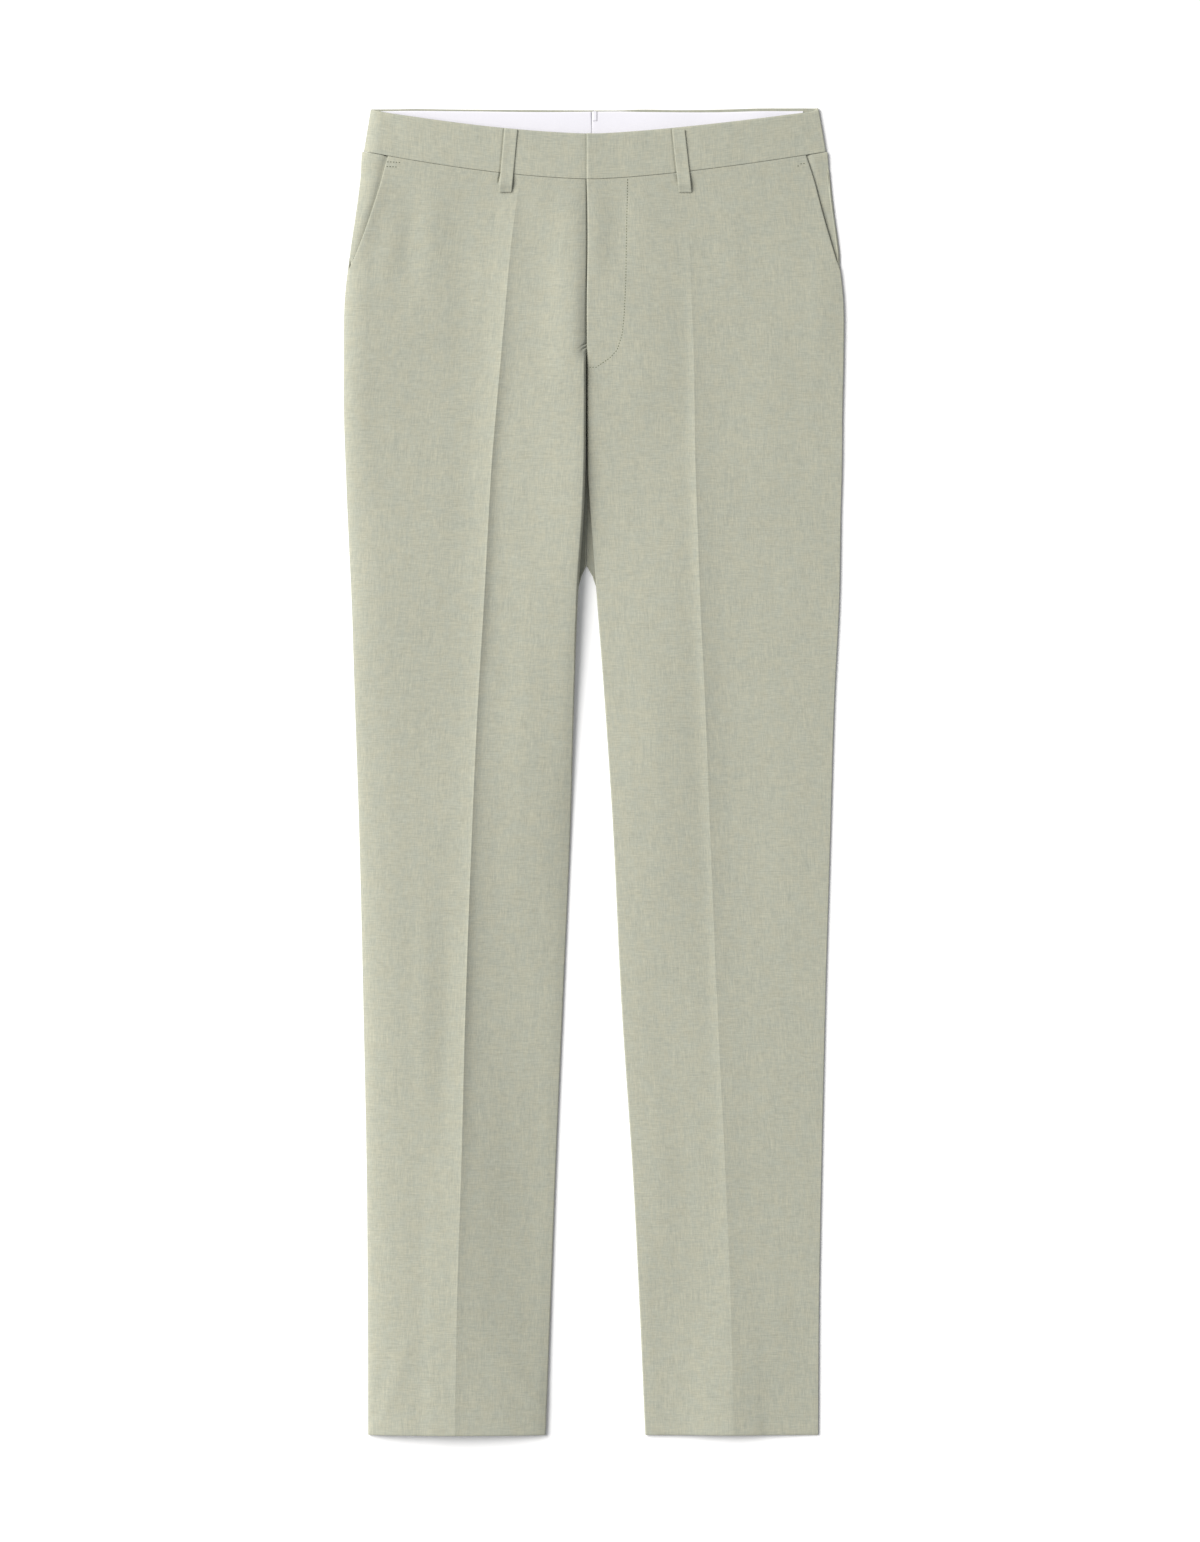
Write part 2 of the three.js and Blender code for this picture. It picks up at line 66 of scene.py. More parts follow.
HEM = -577.0
CROTCH = 267.5
FLY_BOTTOM = 345.0
SEAM_SIDE = 540.0  # waist seam at the sides
GAP = 0.3  # between two pieces that are sewn or lie together
TOP_ROW = SEAM_SIDE - GAP / 2
SEAM_CENTER = 516.0  # waist seam at the centre front
BAND_TOP_CENTER = 555.6
BAND_TOP_SIDE = 577.0
WAIST_HALF = 198.0
CENTER = -7.0  # crotch seam, and the fly's edge within half a gap

LAP_RUN = 13.0  # run over which the right side dips to pass under the left
PANEL_DROP = 3.8  # depth of that dip in the right front
BAND_DROP = 2.7  # and in the right waistband
HIDDEN_DROP = 5.2  # and in both further in, under the hook and the zip
RIGHT_LAP_END = 30.0  # the right waistband runs on to here under the left one

BACK_ROLL = 5.0
BACK_LIFT = 1.3  # the back rises over the belt loops that it presses flat
LIFT_ROWS = (478, 498)  # and does so between these rows
FLAT_FROM, FLAT_TO = 140, 172  # X over which that dies away, where the left side is pressed flat
BEND_ROW = 478.0  # above it a front's rows bend down to the waist seam
FACING_DEPTH = 1.5  # from the front's face down to the pocket facing
FACING_UNDER = 22.0  # how far the facing runs in under the front
MOUTH_FOOT = 436.0
BAG_REACH = 128.0  # from the side seam to the inner edge of the pocket bag
BAG_FOOT = 300.0
LINING_FOOT = 541.5

SHIELD_SPAN = (-8, 32)  # X of the two edges of the fly's shield
ZIP_SPAN = (6, 24)  # and of the zip's tape
ZIP_FOOT = 358.0
ZIP_TEETH = (362, 512)  # heights between which the teeth run
TOOTH_PITCH = 2.4
TOOTH_SIZE = (4.0, 1.3, 0.9)

LOOPS = {  # X of the head and of the foot of each front belt loop
    "belt_loop_front_right": (-72.4, -77.6),
    "belt_loop_front_left": (73.0, 79.0),
}
LOOP_WIDTH, LOOP_FOOT, LOOP_HEAD = 11.2, 504.5, 559.0
BACK_LOOPS = {"right": -96.0, "center": 0.0, "left": 96.0}  # X of the middle of each back belt loop
BACK_LOOP_FOOT, BACK_LOOP_HEAD = 510.5, 565.0

# How far along the cloth each kind of piece is cut from it, for the weave to follow.
ON_CLOTH = {"band": 40, "tab": 300, "front": 400, "back": 900, "facing": 1300, "fly": 1800, "loop": 2300}


class Table:
    """Rows of numbers under named columns, the first of them the height on the body, with a smooth curve
    through each column."""

    def __init__(self, columns, *rows):
        data = np.array(sorted(rows), float)
        self.y = data[:, 0]
        self.values = {name: data[:, i] for i, name in enumerate(columns)}

    def at(self, column, y):
        heights, values = self.y, self.values[column]
        y = np.clip(y, heights[0], heights[-1])
        low = np.clip(np.searchsorted(heights, y, side="right") - 1, 0, len(heights) - 2)
        each = np.arange(len(heights))
        before, after = np.maximum(each - 1, 0), np.minimum(each + 1, len(heights) - 1)
        slopes = (values[after] - values[before]) / (heights[after] - heights[before])
        span = heights[low + 1] - heights[low]
        share = (y - heights[low]) / span
        return bend(share, span, values[low], values[low + 1], slopes[low], slopes[low + 1])


def bend(t, span, start, end, start_slope, end_slope):
    """A cubic from start to end as t runs from 0 to 1 over span, with a slope given at each end."""
    return (
        (2 * t**3 - 3 * t**2 + 1) * start
        + (t**3 - 2 * t**2 + t) * span * start_slope
        + (3 * t**2 - 2 * t**3) * end
        + (t**3 - t**2) * span * end_slope
    )


def through(stations, heights, at):
    """A smooth curve through a height at each station, where both may change from row to row."""
    last = len(stations) - 1
    slopes = []
    for k in range(last + 1):
        before, after = max(k - 1, 0), min(k + 1, last)
        slopes.append((heights[after] - heights[before]) / (stations[after] - stations[before]))
    curve = heights[0] + 0 * at
    for k in range(last):
        span = stations[k + 1] - stations[k]
        t = np.clip((at - stations[k]) / span, 0, 1)
        piece = bend(t, span, heights[k], heights[k + 1], slopes[k], slopes[k + 1])
        curve = np.where(at >= stations[k], piece, curve)
    return curve


# Both legs from the waist down: outer edge, crease and inner edge of each, and the height of the side seam.
SECTIONS = Table(
    ("y", "right_outer", "right_crease", "right_inner", "left_inner", "left_crease", "left_outer", "seam"),
    (577, -194.8, -62, -7.15, -6.85, 73, 195.2, 3.4),
    (540, -200.8, -64, -7.15, -6.85, 76, 201.5, 3.4),
    (498, -206.2, -68, -7.15, -6.3, 79.5, 206.2, 3),
    (455, -212.5, -73, -7.15, -6.1, 82.5, 212.0, 2.5),
    (411, -217.6, -77, -7.15, -6.8, 84.5, 216.9, 2.4),
    (360, -218.3, -81.5, -7.15, -6.85, 86.5, 217, 2.2),
    (310, -218.2, -86, -7.15, -6.85, 87.2, 216, 2),
    (267.5, -216.8, -89.5, -7.6, -6.4, 87.8, 215.7, 1.9),
    (225, -215.1, -92, -9.2, -3.6, 89.4, 214.6, 1.8),
    (150, -211.6, -96, -14.5, 2.2, 92, 213.3, 1.7),
    (60, -208.7, -101.5, -17.8, 9, 96.3, 208.9, 1.6),
    (-50, -205, -106.5, -21, 16.2, 100.6, 205.6, 1.6),
    (-200, -201.4, -112, -27.5, 23.4, 106.8, 201.1, 1.6),
    (-350, -198.4, -116, -34, 33.4, 114, 197.7, 1.6),
    (-460, -197.5, -119.5, -38, 39, 118.5, 195.7, 1.6),
    (-577, -197.2, -121.5, -42.5, 44.2, 121, 194.9, 1.6),
)

# How each front lies, from its outer edge in: reach of the roll over the side seam, then heights above the
# surface at the rim, 45 in from it, 20 before the crease, at the crease, 7 and 22 past it, halfway from the
# crease to the inner edge, 20 and 8 before that edge, and at it. pressed is how far the crease stands above.
SHAPE_COLUMNS = (
    "y", "reach", "rim", "side", "foot", "ridge", "lip", "dell", "middle", "swell", "inner", "brink",
    "pressed",
)  # fmt: skip
RIGHT_SHAPE = Table(
    SHAPE_COLUMNS,
    (577, 10, 9, 13.2, 14, 14, 14, 14, 14, 14, 14, 14, 0),
    (540, 14, 10.3, 12.3, 13.5, 14, 14, 14, 14, 14, 14, 14, 0),
    (498, 18, 9.8, 10.4, 11, 12.6, 12.4, 12.6, 13.2, 14, 14.2, 14.2, 0.3),
    (455, 18, 8.9, 8.8, 9.1, 11, 10.8, 11, 12.2, 14, 14.6, 14.6, 0.9),
    (411, 20, 10.5, 9.6, 8.9, 11, 10.7, 11, 12.2, 14.6, 15.4, 15.4, 1.4),
    (360, 22, 11, 9.6, 8.4, 10.8, 10.5, 11.1, 12.6, 15.2, 16, 16, 1.9),
    (310, 20, 10, 9, 8, 9.4, 8.8, 10, 11.8, 13.7, 14.5, 14.3, 2.1),
    (267.5, 22, 9.2, 9.2, 8.4, 9.2, 8.4, 9.4, 11, 13.2, 14.3, 14.2, 2.2),
    (225, 28, 9.9, 9.9, 9.5, 9.9, 9.1, 9.9, 11.3, 13.5, 14.5, 14.3, 2.2),
    (150, 34, 10.6, 10.6, 10.2, 10.6, 9.6, 10.4, 11.9, 12.9, 13.3, 12.7, 2.2),
    (60, 38, 8.4, 8.4, 8, 8.4, 7.6, 7.8, 9.1, 9.2, 8.8, 7.4, 2.1),
    (-50, 36, 9.3, 9.3, 9.5, 9.9, 8.9, 8.2, 8, 6.7, 4.9, 3, 2.2),
    (-200, 36, 10.3, 10.5, 10.7, 11.3, 9.6, 7.9, 6.3, 5.1, 4.1, 2.7, 2.2),
    (-350, 36, 10, 11.3, 12.7, 14.6, 13.2, 10.9, 7.3, 4.7, 3.6, 2.7, 1),
    (-460, 36, 10, 11.9, 13.3, 14.9, 14, 12.1, 9.1, 6, 4.4, 3, 0.6),
    (-577, 36, 9, 11.7, 13.3, 14.4, 13.9, 13, 11.6, 8.9, 6.6, 4.2, 0.3),
)
LEFT_SHAPE = Table(
    SHAPE_COLUMNS,
    (577, 0.8, 2.9, 6.9, 11, 11.7, 12.1, 12.9, 13.9, 14.5, 15.3, 15.8, 0),
    (540, 0.8, 2.9, 6.9, 11, 11.7, 12.1, 12.9, 13.9, 14.5, 15.3, 15.8, 0),
    (498, 0.8, 2.8, 6.6, 10.2, 11, 11.5, 12.6, 13.7, 13.7, 14.6, 14.6, 0),
    (455, 0.8, 2.9, 6.2, 9, 9.8, 10.2, 11.4, 12.6, 12.9, 13.9, 13.7, 0.3),
    (411, 0.7, 3, 6, 8.6, 9.4, 9.5, 10.8, 12.2, 12.5, 12.6, 12.7, 0.6),
    (360, 0.6, 2.8, 5.4, 7.6, 8.5, 8.4, 9.8, 11.2, 11, 11, 11.1, 0.8),
    (310, 0.5, 2.6, 4.7, 6.7, 7.5, 7.1, 8.2, 9.4, 9.2, 9.4, 9.4, 0.9),
    (267.5, 0.5, 2.5, 4.5, 6.7, 7.6, 7.1, 7.6, 7.6, 7.2, 7.2, 7, 1.1),
    (225, 0.5, 2.4, 4.4, 6.6, 7.4, 6.8, 7.3, 6.7, 6, 5.8, 5.4, 1.2),
    (150, 0.5, 2.3, 4.1, 5.6, 6.9, 6.5, 7.4, 7.3, 6.1, 5.3, 4.7, 1),
    (60, 0.5, 2.2, 4.1, 4.8, 6.1, 6, 7.2, 7.9, 6.5, 5.3, 4.5, 1.1),
    (-50, 0.5, 2.1, 3.9, 4.3, 5.5, 5.5, 6.9, 8.1, 7.3, 6.1, 5.1, 0.9),
    (-200, 0.5, 2.1, 4.1, 4.9, 5.8, 5.5, 6, 6.2, 6.2, 5.6, 4.7, 0.6),
    (-350, 0.5, 2.1, 4.3, 5.1, 6.5, 6, 5.7, 5.5, 5.9, 5.3, 4.5, 0.4),
    (-460, 0.5, 2.1, 4.5, 5.5, 7.1, 6.7, 5.4, 4.7, 4.8, 4.9, 4.4, 0.3),
    (-577, 0.5, 2.1, 5.4, 7, 9.4, 9.3, 8, 5.6, 4.5, 4.3, 3.9, 0),
)

# The slanted pocket mouth: how far in from the side seam it cuts each front, and how far it stands open.
MOUTHS = Table(
    ("y", "right", "left", "right_gape", "left_gape"),
    (540, 21.3, 17.4, 0.2, 0),
    (528, 19.8, 15.2, 0.5, 0),
    (517, 18.5, 13, 1.3, 0),
    (508, 17.2, 11.6, 1.7, 0.3),
    (477, 11.5, 7.4, 1.8, 0.9),
    (449, 4.7, 2.8, 1.2, 0.5),
    (436, 0, 0, 0, 0),
)


# Across the back: the waistband's upper edge, and how far below it the lining starts.
BACK_EDGE = Table(
    ("x", "top", "margin"),
    (-187, 577.7, 1.9),
    (-160, 578.1, 1.9),
    (-126, 577.6, 1.7),
    (-100, 577.4, 1.7),
    (-47, 577.1, 2),
    (-13, 576.9, 1.5),
    (22, 576.8, 1.1),
    (40, 577.5, 2.3),
    (74, 577.1, 2.2),
    (109, 577.5, 2.5),
    (144, 578.5, 2.6),
    (187, 578.7, 2.6),
)
SEAT_SEAM = -2.3  # X of the centre seam in the lining


class Side(NamedTuple):
    """One side of the garment. sign turns a distance from the centre into X, the bends are how full the
    curves of the waist seam and of the upper edge are, underlap is how far it passes under the other side at
    the fly, turn is the reach of its roll into the trench below the fly, and pressed scales its crease."""

    name: str
    sign: int
    seam_bend: float
    top_bend: float
    underlap: float
    turn: float
    shape: Table
    pressed: float = 1.0


RIGHT = Side("right", -1, 1.65, 1.6, 10.5, 2.2, RIGHT_SHAPE)
LEFT = Side("left", 1, 1.4, 1.33, 0.0, 2.4, LEFT_SHAPE)

class Fold(NamedTuple):
    """A soft fold of a front: a long low ridge, or a trough where its height is negative. x and y are its
    middle, lean is how far it shifts in X for each unit of Y, and the halves are its reach."""

    side: str
    x: float
    y: float
    lean: float
    half_width: float
    half_length: float
    height: float


FOLDS = (
    Fold("right", -178, 450, 0.15, 7, 42, 0.8),
    Fold("right", -162, 455, 0.03, 9, 62, -0.8),
    Fold("right", -141, 470, 0.02, 12, 75, 1.1),
    Fold("right", -113, 420, 0.02, 13, 130, -0.9),
    Fold("right", -47, 492, -0.05, 12, 62, 0.8),
    Fold("right", -114, 240, 0.03, 12, 110, -0.7),
    Fold("right", -60, 60, 0.04, 13, 90, 0.4),
    Fold("right", -149, -200, 0.02, 10, 180, 0.7),
    Fold("right", -129, -230, 0.03, 9, 190, -0.7),
    Fold("right", -175, -532, 0.37, 7, 52, 0.9),
    Fold("right", -189, -548, 0.37, 6, 36, -0.3),
    Fold("right", -68, -526, -0.9, 11, 48, 0.8),
    Fold("left", 23, 478, 0.05, 10, 52, -0.8),
    Fold("left", 118, 452, -0.06, 14, 66, 0.5),
    Fold("left", 197, 395, 0.02, 11, 85, 0.8),
    Fold("left", 150, 300, 0.03, 15, 120, 0.4),
    Fold("left", 148, -60, 0.02, 14, 150, -0.4),
    Fold("left", 62, -340, -0.06, 11, 120, 0.4),
    Fold("left", 158, -470, 0.05, 12, 80, 0.4),
)


def ease(value, low, high):
    """Rises smoothly from 0 at low to 1 at high."""
    t = np.clip((value - low) / (high - low), 0, 1)
    return t * t * (3 - 2 * t)


def roll(distance, reach):
    """A quarter ellipse, 0 at an edge and 1 from reach inwards."""
    t = np.clip(1 - distance / reach, 0, 1)
    return np.sqrt(1 - t * t)


def roll_stations(reach, count):
    """Distances from an edge at which a roll has turned by equal shares of a right angle."""
    return reach * (1 - np.cos(np.linspace(0, math.pi / 2, count)))


def outer_edge(side, y):
    return SECTIONS.at(side.name + "_outer", y)


def crease_line(side, y):
    return SECTIONS.at(side.name + "_crease", y)


def base_edge(side, y):
    """The front's surface reaches past the side seam along the pocket, by the facing's depth below it."""
    return outer_edge(side, y) + side.sign * FACING_DEPTH * ease(y, MOUTH_FOOT, MOUTH_FOOT + 16)


def seam_height(side, y):
    """Height of the side seam, which is pressed flatter at the left of the waist."""
    return SECTIONS.at("seam", y) - 1.2 * ease(y, 400, 500) * (side.sign > 0)


def seam_edge(side, y):
    """The inner seam of a leg and, above the crotch, the line along which the two sides meet."""
    return SECTIONS.at(side.name + "_inner", y)


def inner_edge(side, y):
    return seam_edge(side, y) + side.underlap * ease(y, FLY_BOTTOM + 21, FLY_BOTTOM + 31)


def front_limit(side, y):
    """Where the front's cloth ends: at the pocket mouth, and below that at the side seam."""
    cut = np.where(y > MOUTH_FOOT, MOUTHS.at(side.name, y), 0)
    return outer_edge(side, y) - side.sign * cut


def waist_seam(side, x):
    return SEAM_CENTER + (SEAM_SIDE - SEAM_CENTER) * (np.abs(x) / WAIST_HALF) ** side.seam_bend


def band_top(side, x):
    return BAND_TOP_CENTER + (BAND_TOP_SIDE - BAND_TOP_CENTER) * (np.abs(x) / WAIST_HALF) ** side.top_bend


def fold_height(side, x, row):
    """The soft folds of one front, added up."""
    height = np.zeros(np.broadcast(x, row).shape)
    for fold in FOLDS:
        if fold.side != side.name:
            continue
        along = np.clip((row - fold.y) / fold.half_length, -1, 1)
        across = (x - fold.x - fold.lean * (row - fold.y)) / fold.half_width
        height = height + fold.height * np.cos(along * math.pi / 2) ** 2 * np.exp(-across * across)
    return height


def edge_drop(side, x, row):
    """How far the cloth turns down at its cut edges: waist seam, hem, pocket mouth and fly."""
    drop = 0.15 * (1 - roll(TOP_ROW - row, 0.5)) + 0.5 * (1 - roll(row - HEM, 1.8))
    mouth = np.where(row > MOUTH_FOOT, 1 - roll(np.abs(front_limit(side, row) - x), 1.2), 0)
    drop = drop + 0.4 * mouth * ease(row, MOUTH_FOOT, MOUTH_FOOT + 12)
    if not side.underlap:
        fly = 1 - roll(np.abs(x - inner_edge(side, row)), 1.6)
        drop = drop + 1.0 * fly * ease(row, FLY_BOTTOM, FLY_BOTTOM + 20)
    return drop


def lying_height(side, x, row):
    """How a front would lie if it stopped square at its edges."""
    edge, crease, inner = base_edge(side, row), crease_line(side, row), seam_edge(side, row)
    heights = [side.shape.at(name, row) for name in SHAPE_COLUMNS[2:12]]
    rim, flank, foot, ridge, lip, dell, middle, swell, near, brink = heights
    outside = side.sign * (edge - x)
    before = through(
        [0 * row, 45 + 0 * row, side.sign * (edge - crease) - 20, side.sign * (edge - crease)],
        [rim, flank, foot, ridge],
        outside,
    )
    inside = side.sign * (crease - x)
    width = side.sign * (crease - inner)
    after = through(
        [0 * row, 7 + 0 * row, 22 + 0 * row, (width + 2) / 2, width - 20, width - 8, width],
        [ridge, lip, dell, middle, swell, near, brink],
        inside,
    )
    away = np.abs(x - crease)
    falloff = 0.85 * np.exp(-away / 11) + 0.15 * np.exp(-away / 1.5)
    pressed = side.pressed * side.shape.at("pressed", row) * falloff
    return np.where(inside < 0, before, after) + pressed + fold_height(side, x, row)


def meeting_height(row):
    """Height along the inner seams, down in the trench below the fly, and up at the fly's edge above it."""
    seam = SECTIONS.at("seam", row)
    edge = lying_height(LEFT, seam_edge(LEFT, row), row)
    rise = 0.25 * ease(row, CROTCH, 330) + 0.75 * ease(row, FLY_BOTTOM + 7, FLY_BOTTOM + 37)
    return seam + (edge - seam) * rise


def loop_groove(side, x, row):
    """Depth of the groove that a belt loop presses into the cloth along its edge on the wearer's right."""
    head, foot = LOOPS["belt_loop_front_" + side.name]
    y = row + waist_seam(side, head) - SEAM_SIDE
    edge = foot + (head - foot) * (y - LOOP_FOOT) / (LOOP_HEAD - LOOP_FOOT) - LOOP_WIDTH / 2
    pressed = ease(y, LOOP_FOOT - 1, LOOP_FOOT + 1) * (1 - ease(y, LOOP_HEAD - 2, LOOP_HEAD))
    return pressed * np.exp(-(((x - edge + 0.2) / 0.8) ** 2)) * (0.7 + 0.5 * (1 - ease(y, 518, 522)))


def surface_height(side, x, row, drop):
    """Height of the upper face of a front or of the waistband over it. drop is how far the right side lies
    below the left one where it passes under it."""
    seam = seam_height(side, row)
    outer = roll(np.abs(base_edge(side, row) - x), side.shape.at("reach", row))
    height = seam + (lying_height(side, x, row) - seam) * outer - loop_groove(side, x, row)
    low = meeting_height(row)
    opening = ease(row, 60, 225) if side.underlap else ease(row, 255, 285)
    turn = 1 - roll(side.sign * (x - seam_edge(side, row)), 0.9 + (side.turn - 0.9) * opening)
    if side.underlap:
        lap = ease(row, FLY_BOTTOM + 5, FLY_BOTTOM + 23)
        past = x - seam_edge(LEFT, row)
        drop = drop + (HIDDEN_DROP - drop) * ease(past, 3, 13)
        gentle, steep = np.clip(1 + past / LAP_RUN, 0, 1), np.clip(1 + (past - 0.6) / 2.6, 0, 1)
        under = 0.5 * gentle**2 + 0.5 * steep**2
        level = np.maximum(lying_height(LEFT, seam_edge(LEFT, row), row) - drop, 2.2)
        return height + (low - height) * (1 - lap) * turn + (level - height) * lap * under
    return height + (low - height) * turn * (1 - ease(row, FLY_BOTTOM + 7, FLY_BOTTOM + 37))


def front_height(side, x, row):
    gape = np.where(row > MOUTH_FOOT, MOUTHS.at(side.name + "_gape", row), 0)
    lift = 0.5 * gape * np.exp(-((np.abs(front_limit(side, row) - x) / 7) ** 2))
    return surface_height(side, x, row, PANEL_DROP) + lift - edge_drop(side, x, row)


def front_point(side, x, row):
    """A row runs level across the leg and bends down to the waist seam as it nears the top."""
    share = np.maximum(row - BEND_ROW, 0) / (TOP_ROW - BEND_ROW)
    x, row = np.broadcast_arrays(x, row)
    return grid(x, row + share**2 * (waist_seam(side, x) - SEAM_SIDE), front_height(side, x, row))


def sink(side, x, row, depth):
    """Points of a front's surface moved in by depth, square to the cloth."""
    step = 0.05
    here = front_point(side, x, row)
    low, high = sorted((inner_edge(side, row), base_edge(side, row)), key=np.mean)
    beyond, before = np.clip(x + step, low, high), np.clip(x - step, low, high)
    across = front_point(side, beyond, row) - front_point(side, before, row)
    share = (x - inner_edge(side, row)) / (base_edge(side, row) - inner_edge(side, row))

    def on_row(y):
        return front_point(side, inner_edge(side, y) + share * (base_edge(side, y) - inner_edge(side, y)), y)

    normal = np.cross(across, on_row(row + step) - on_row(row - step))
    normal /= np.linalg.norm(normal, axis=-1, keepdims=True)
    return here - normal * np.asarray(depth)[..., None]


def grid(*parts):
    """Points from their coordinates, which are spread over the same rows and columns."""
    return np.stack(np.broadcast_arrays(*parts), axis=-1)


def stack_columns(*parts):
    """Columns of X for each row, from parts that are one column or several."""
    rows = max(part.shape[0] for part in parts)
    return np.concatenate([np.broadcast_to(part, (rows, part.shape[1])) for part in parts], axis=1)


def between(start, end, count):
    """Columns that share out the way from one column to another, without its ends."""
    shares = np.arange(1, count + 1) / (count + 1)
    return start + (end - start) * shares


# ---- Sizes and finishes that a user may change -----------------------------------------------------------


def length(name, description, default, low=0.0, high=1.0):
    return FloatProperty(
        name=name, description=description, default=default, min=low, max=high, precision=5, unit="LENGTH"
    )


def amount(name, description, default, high=1.0):
    return FloatProperty(name=name, description=description, default=default, min=0, max=high)


def angle(name, description, degrees):
    return FloatProperty(name=name, description=description, default=math.radians(degrees), subtype="ANGLE")


def color(name, description, default):
    return FloatVectorProperty(
        name=name, description=description, default=default, size=3, min=0, max=1, subtype="COLOR"
    )


class TrouserSizes(PropertyGroup):
    """Sizes of the cloth and of its small features."""

    cloth: length("Cloth", "Thickness of the suiting in a leg panel", 0.0009, 0.0002, 0.003)
    band: length("Waistband", "Thickness of the folded and interlined waistband", 0.0014, 0.0005, 0.003)
    trim: length("Trim", "Thickness of belt loops, facings, lining and pocketing", 0.0008, 0.0002, 0.003)
    edge: length("Edge", "How far the cut and folded edges are rounded", 0.0003, 0.0, 0.001)
    stitch: length("Stitch", "Length of one stitch of the topstitching", 0.0015, 0.0005, 0.005)
    stitch_pitch: length("Stitch pitch", "Distance from one stitch to the next", 0.0025, 0.001, 0.008)
    thread: length("Thread", "Thickness of the sewing thread", 0.0008, 0.0001, 0.002)
    loop_slack: length("Loop slack", "How far a belt loop stands off at its foot", 0.0014, 0.0, 0.0045)


class TrouserFinish(PropertyGroup):
    """Colours and weave of the cloth and trims."""

    suiting: color("Suiting", "Main colour of the cloth", (0.364, 0.369, 0.296))
    suiting_warm: color("Warm yarn", "Colour of the sandier yarns", (0.381, 0.3705, 0.288))
    suiting_cool: color("Cool yarn", "Colour of the greyer green yarns", (0.351, 0.3655, 0.310))
    lining: color("Lining", "Waist lining", (0.70, 0.69, 0.74))
    pocketing: color("Pocketing", "Cotton of the pocket bags", (0.72, 0.70, 0.62))
    tape: color("Zip tape", "Tape of the zip", (0.36, 0.36, 0.29))
    # Painted shade: the stitching is coloured as dark as the shade in its stitch holes, not as its own
    # thread.
    stitching: color("Stitching", "Thread of the topstitching", (0.14, 0.15, 0.10))
    metal: color("Hook", "Metal of the hook, bar and zip teeth", (0.62, 0.61, 0.58))
    slub_width: length("Slub width", "Width of the thick and thin places of a yarn", 0.0011, 0.0003, 0.01)
    slub_length: length("Slub length", "Length of the thick and thin places of a yarn", 0.014, 0.002, 0.2)
    slub: amount("Slub", "How strongly the uneven yarns show", 0.36)
    cloud: amount("Cloud", "How strongly the dye varies over the cloth", 0.05)


class StageSetup(PropertyGroup):
    """Floor, light and camera."""

    floor: color("Floor", "Colour of the floor", (0.95, 0.95, 0.955))
    key: FloatProperty(
        name="Key light", description="Power of the large light", default=5620.0, min=0, subtype="POWER"
    )
    key_color: color("Key colour", "Colour of the large light", (1.0, 0.985, 0.96))
    key_azimuth: angle("Key azimuth", "Where the light comes from, round from the right of the view", 155)
    key_elevation: angle("Key elevation", "How high the light stands above the floor", 42)
    key_distance: length("Key distance", "Distance of the large light from the garment", 18.0, 1.0, 100.0)
    key_size: angle("Key size", "How wide the light looks from the garment", 50)
    fill: amount("Fill light", "Strength of the light from all round", 0.38, 5)
    fill_color: color("Fill colour", "Colour of the light from all round", (0.95, 0.97, 1.0))
    camera_height: length("Camera height", "Distance of the camera above the floor", 6.0, 1.0, 20.0)
    view_height: length("View height", "How much the camera sees, at the garment's level", 1.3415, 0.2, 5.0)
    view_center: FloatVectorProperty(
        name="View centre",
        description="Middle of the view on the floor",
        default=(0.0048, 0.0013),
        size=2,
        unit="LENGTH",
        precision=4,
    )


# ---- Making pieces ---------------------------------------------------------------------------------------


def apply_modifier(piece, kind, **settings):
    modifier = piece.modifiers.new(kind.title(), kind)
    for key, value in settings.items():
        setattr(modifier, key, value)
    bpy.context.view_layer.objects.active = piece
    bpy.ops.object.modifier_apply(modifier=modifier.name)


def sheet_area(points):
    """Area of a grid of points in millimetres, in square metres."""
    a = np.cross(points[1:, 1:] - points[:-1, :-1], points[1:, :-1] - points[:-1, 1:])
    return float(np.linalg.norm(a, axis=-1).sum() / 2) * MM * MM


def add_sheet(name, points, cut, material, thickness, edge=0.0, faces_down=False):
    """One piece of cloth from a grid of points in millimetres. Its rows run up the body and its columns
    across. cut holds the same points as they lie in the flat cloth, for the weave to follow."""
    first = np.cross(points[0, 1] - points[0, 0], points[1, 0] - points[0, 0])
    second = np.cross(points[1, 1] - points[1, 0], points[2, 0] - points[1, 0])
    if ((first + second)[2] > 0) == faces_down:
        points, cut = points[:, ::-1], cut[:, ::-1]
    rows, columns = points.shape[:2]
    bpy.ops.object.select_all(action="DESELECT")
    bpy.ops.mesh.primitive_grid_add(
        x_subdivisions=columns - 1, y_subdivisions=rows - 1, size=1, calc_uvs=True
    )
    piece = bpy.context.object
    piece.name = piece.data.name = name
    mesh = piece.data
    mesh.vertices.foreach_set("co", (points * MM).ravel())
    layer = mesh.uv_layers[0]
    layer.name = "cut"
    corners = np.empty(len(mesh.loops), np.int64)
    mesh.loops.foreach_get("vertex_index", corners)
    layer.uv.foreach_set("vector", (cut.reshape(-1, 2) * MM)[corners].ravel())
    mesh.update()
    mesh.materials.append(material)
    apply_modifier(piece, "SOLIDIFY", thickness=thickness, offset=-1, use_even_offset=False, use_rim=True)
    if edge:
        sharp = math.radians(60)
        apply_modifier(piece, "BEVEL", width=edge, segments=2, limit_method="ANGLE", angle_limit=sharp)
    bpy.ops.object.shade_smooth_by_angle(angle=math.radians(50))
    return piece


def shrink_to(scale):
    """The shape that was just added, at its real size."""
    piece = bpy.context.object
    piece.scale = scale
    bpy.ops.object.transform_apply(location=False, rotation=False, scale=True)
    return piece


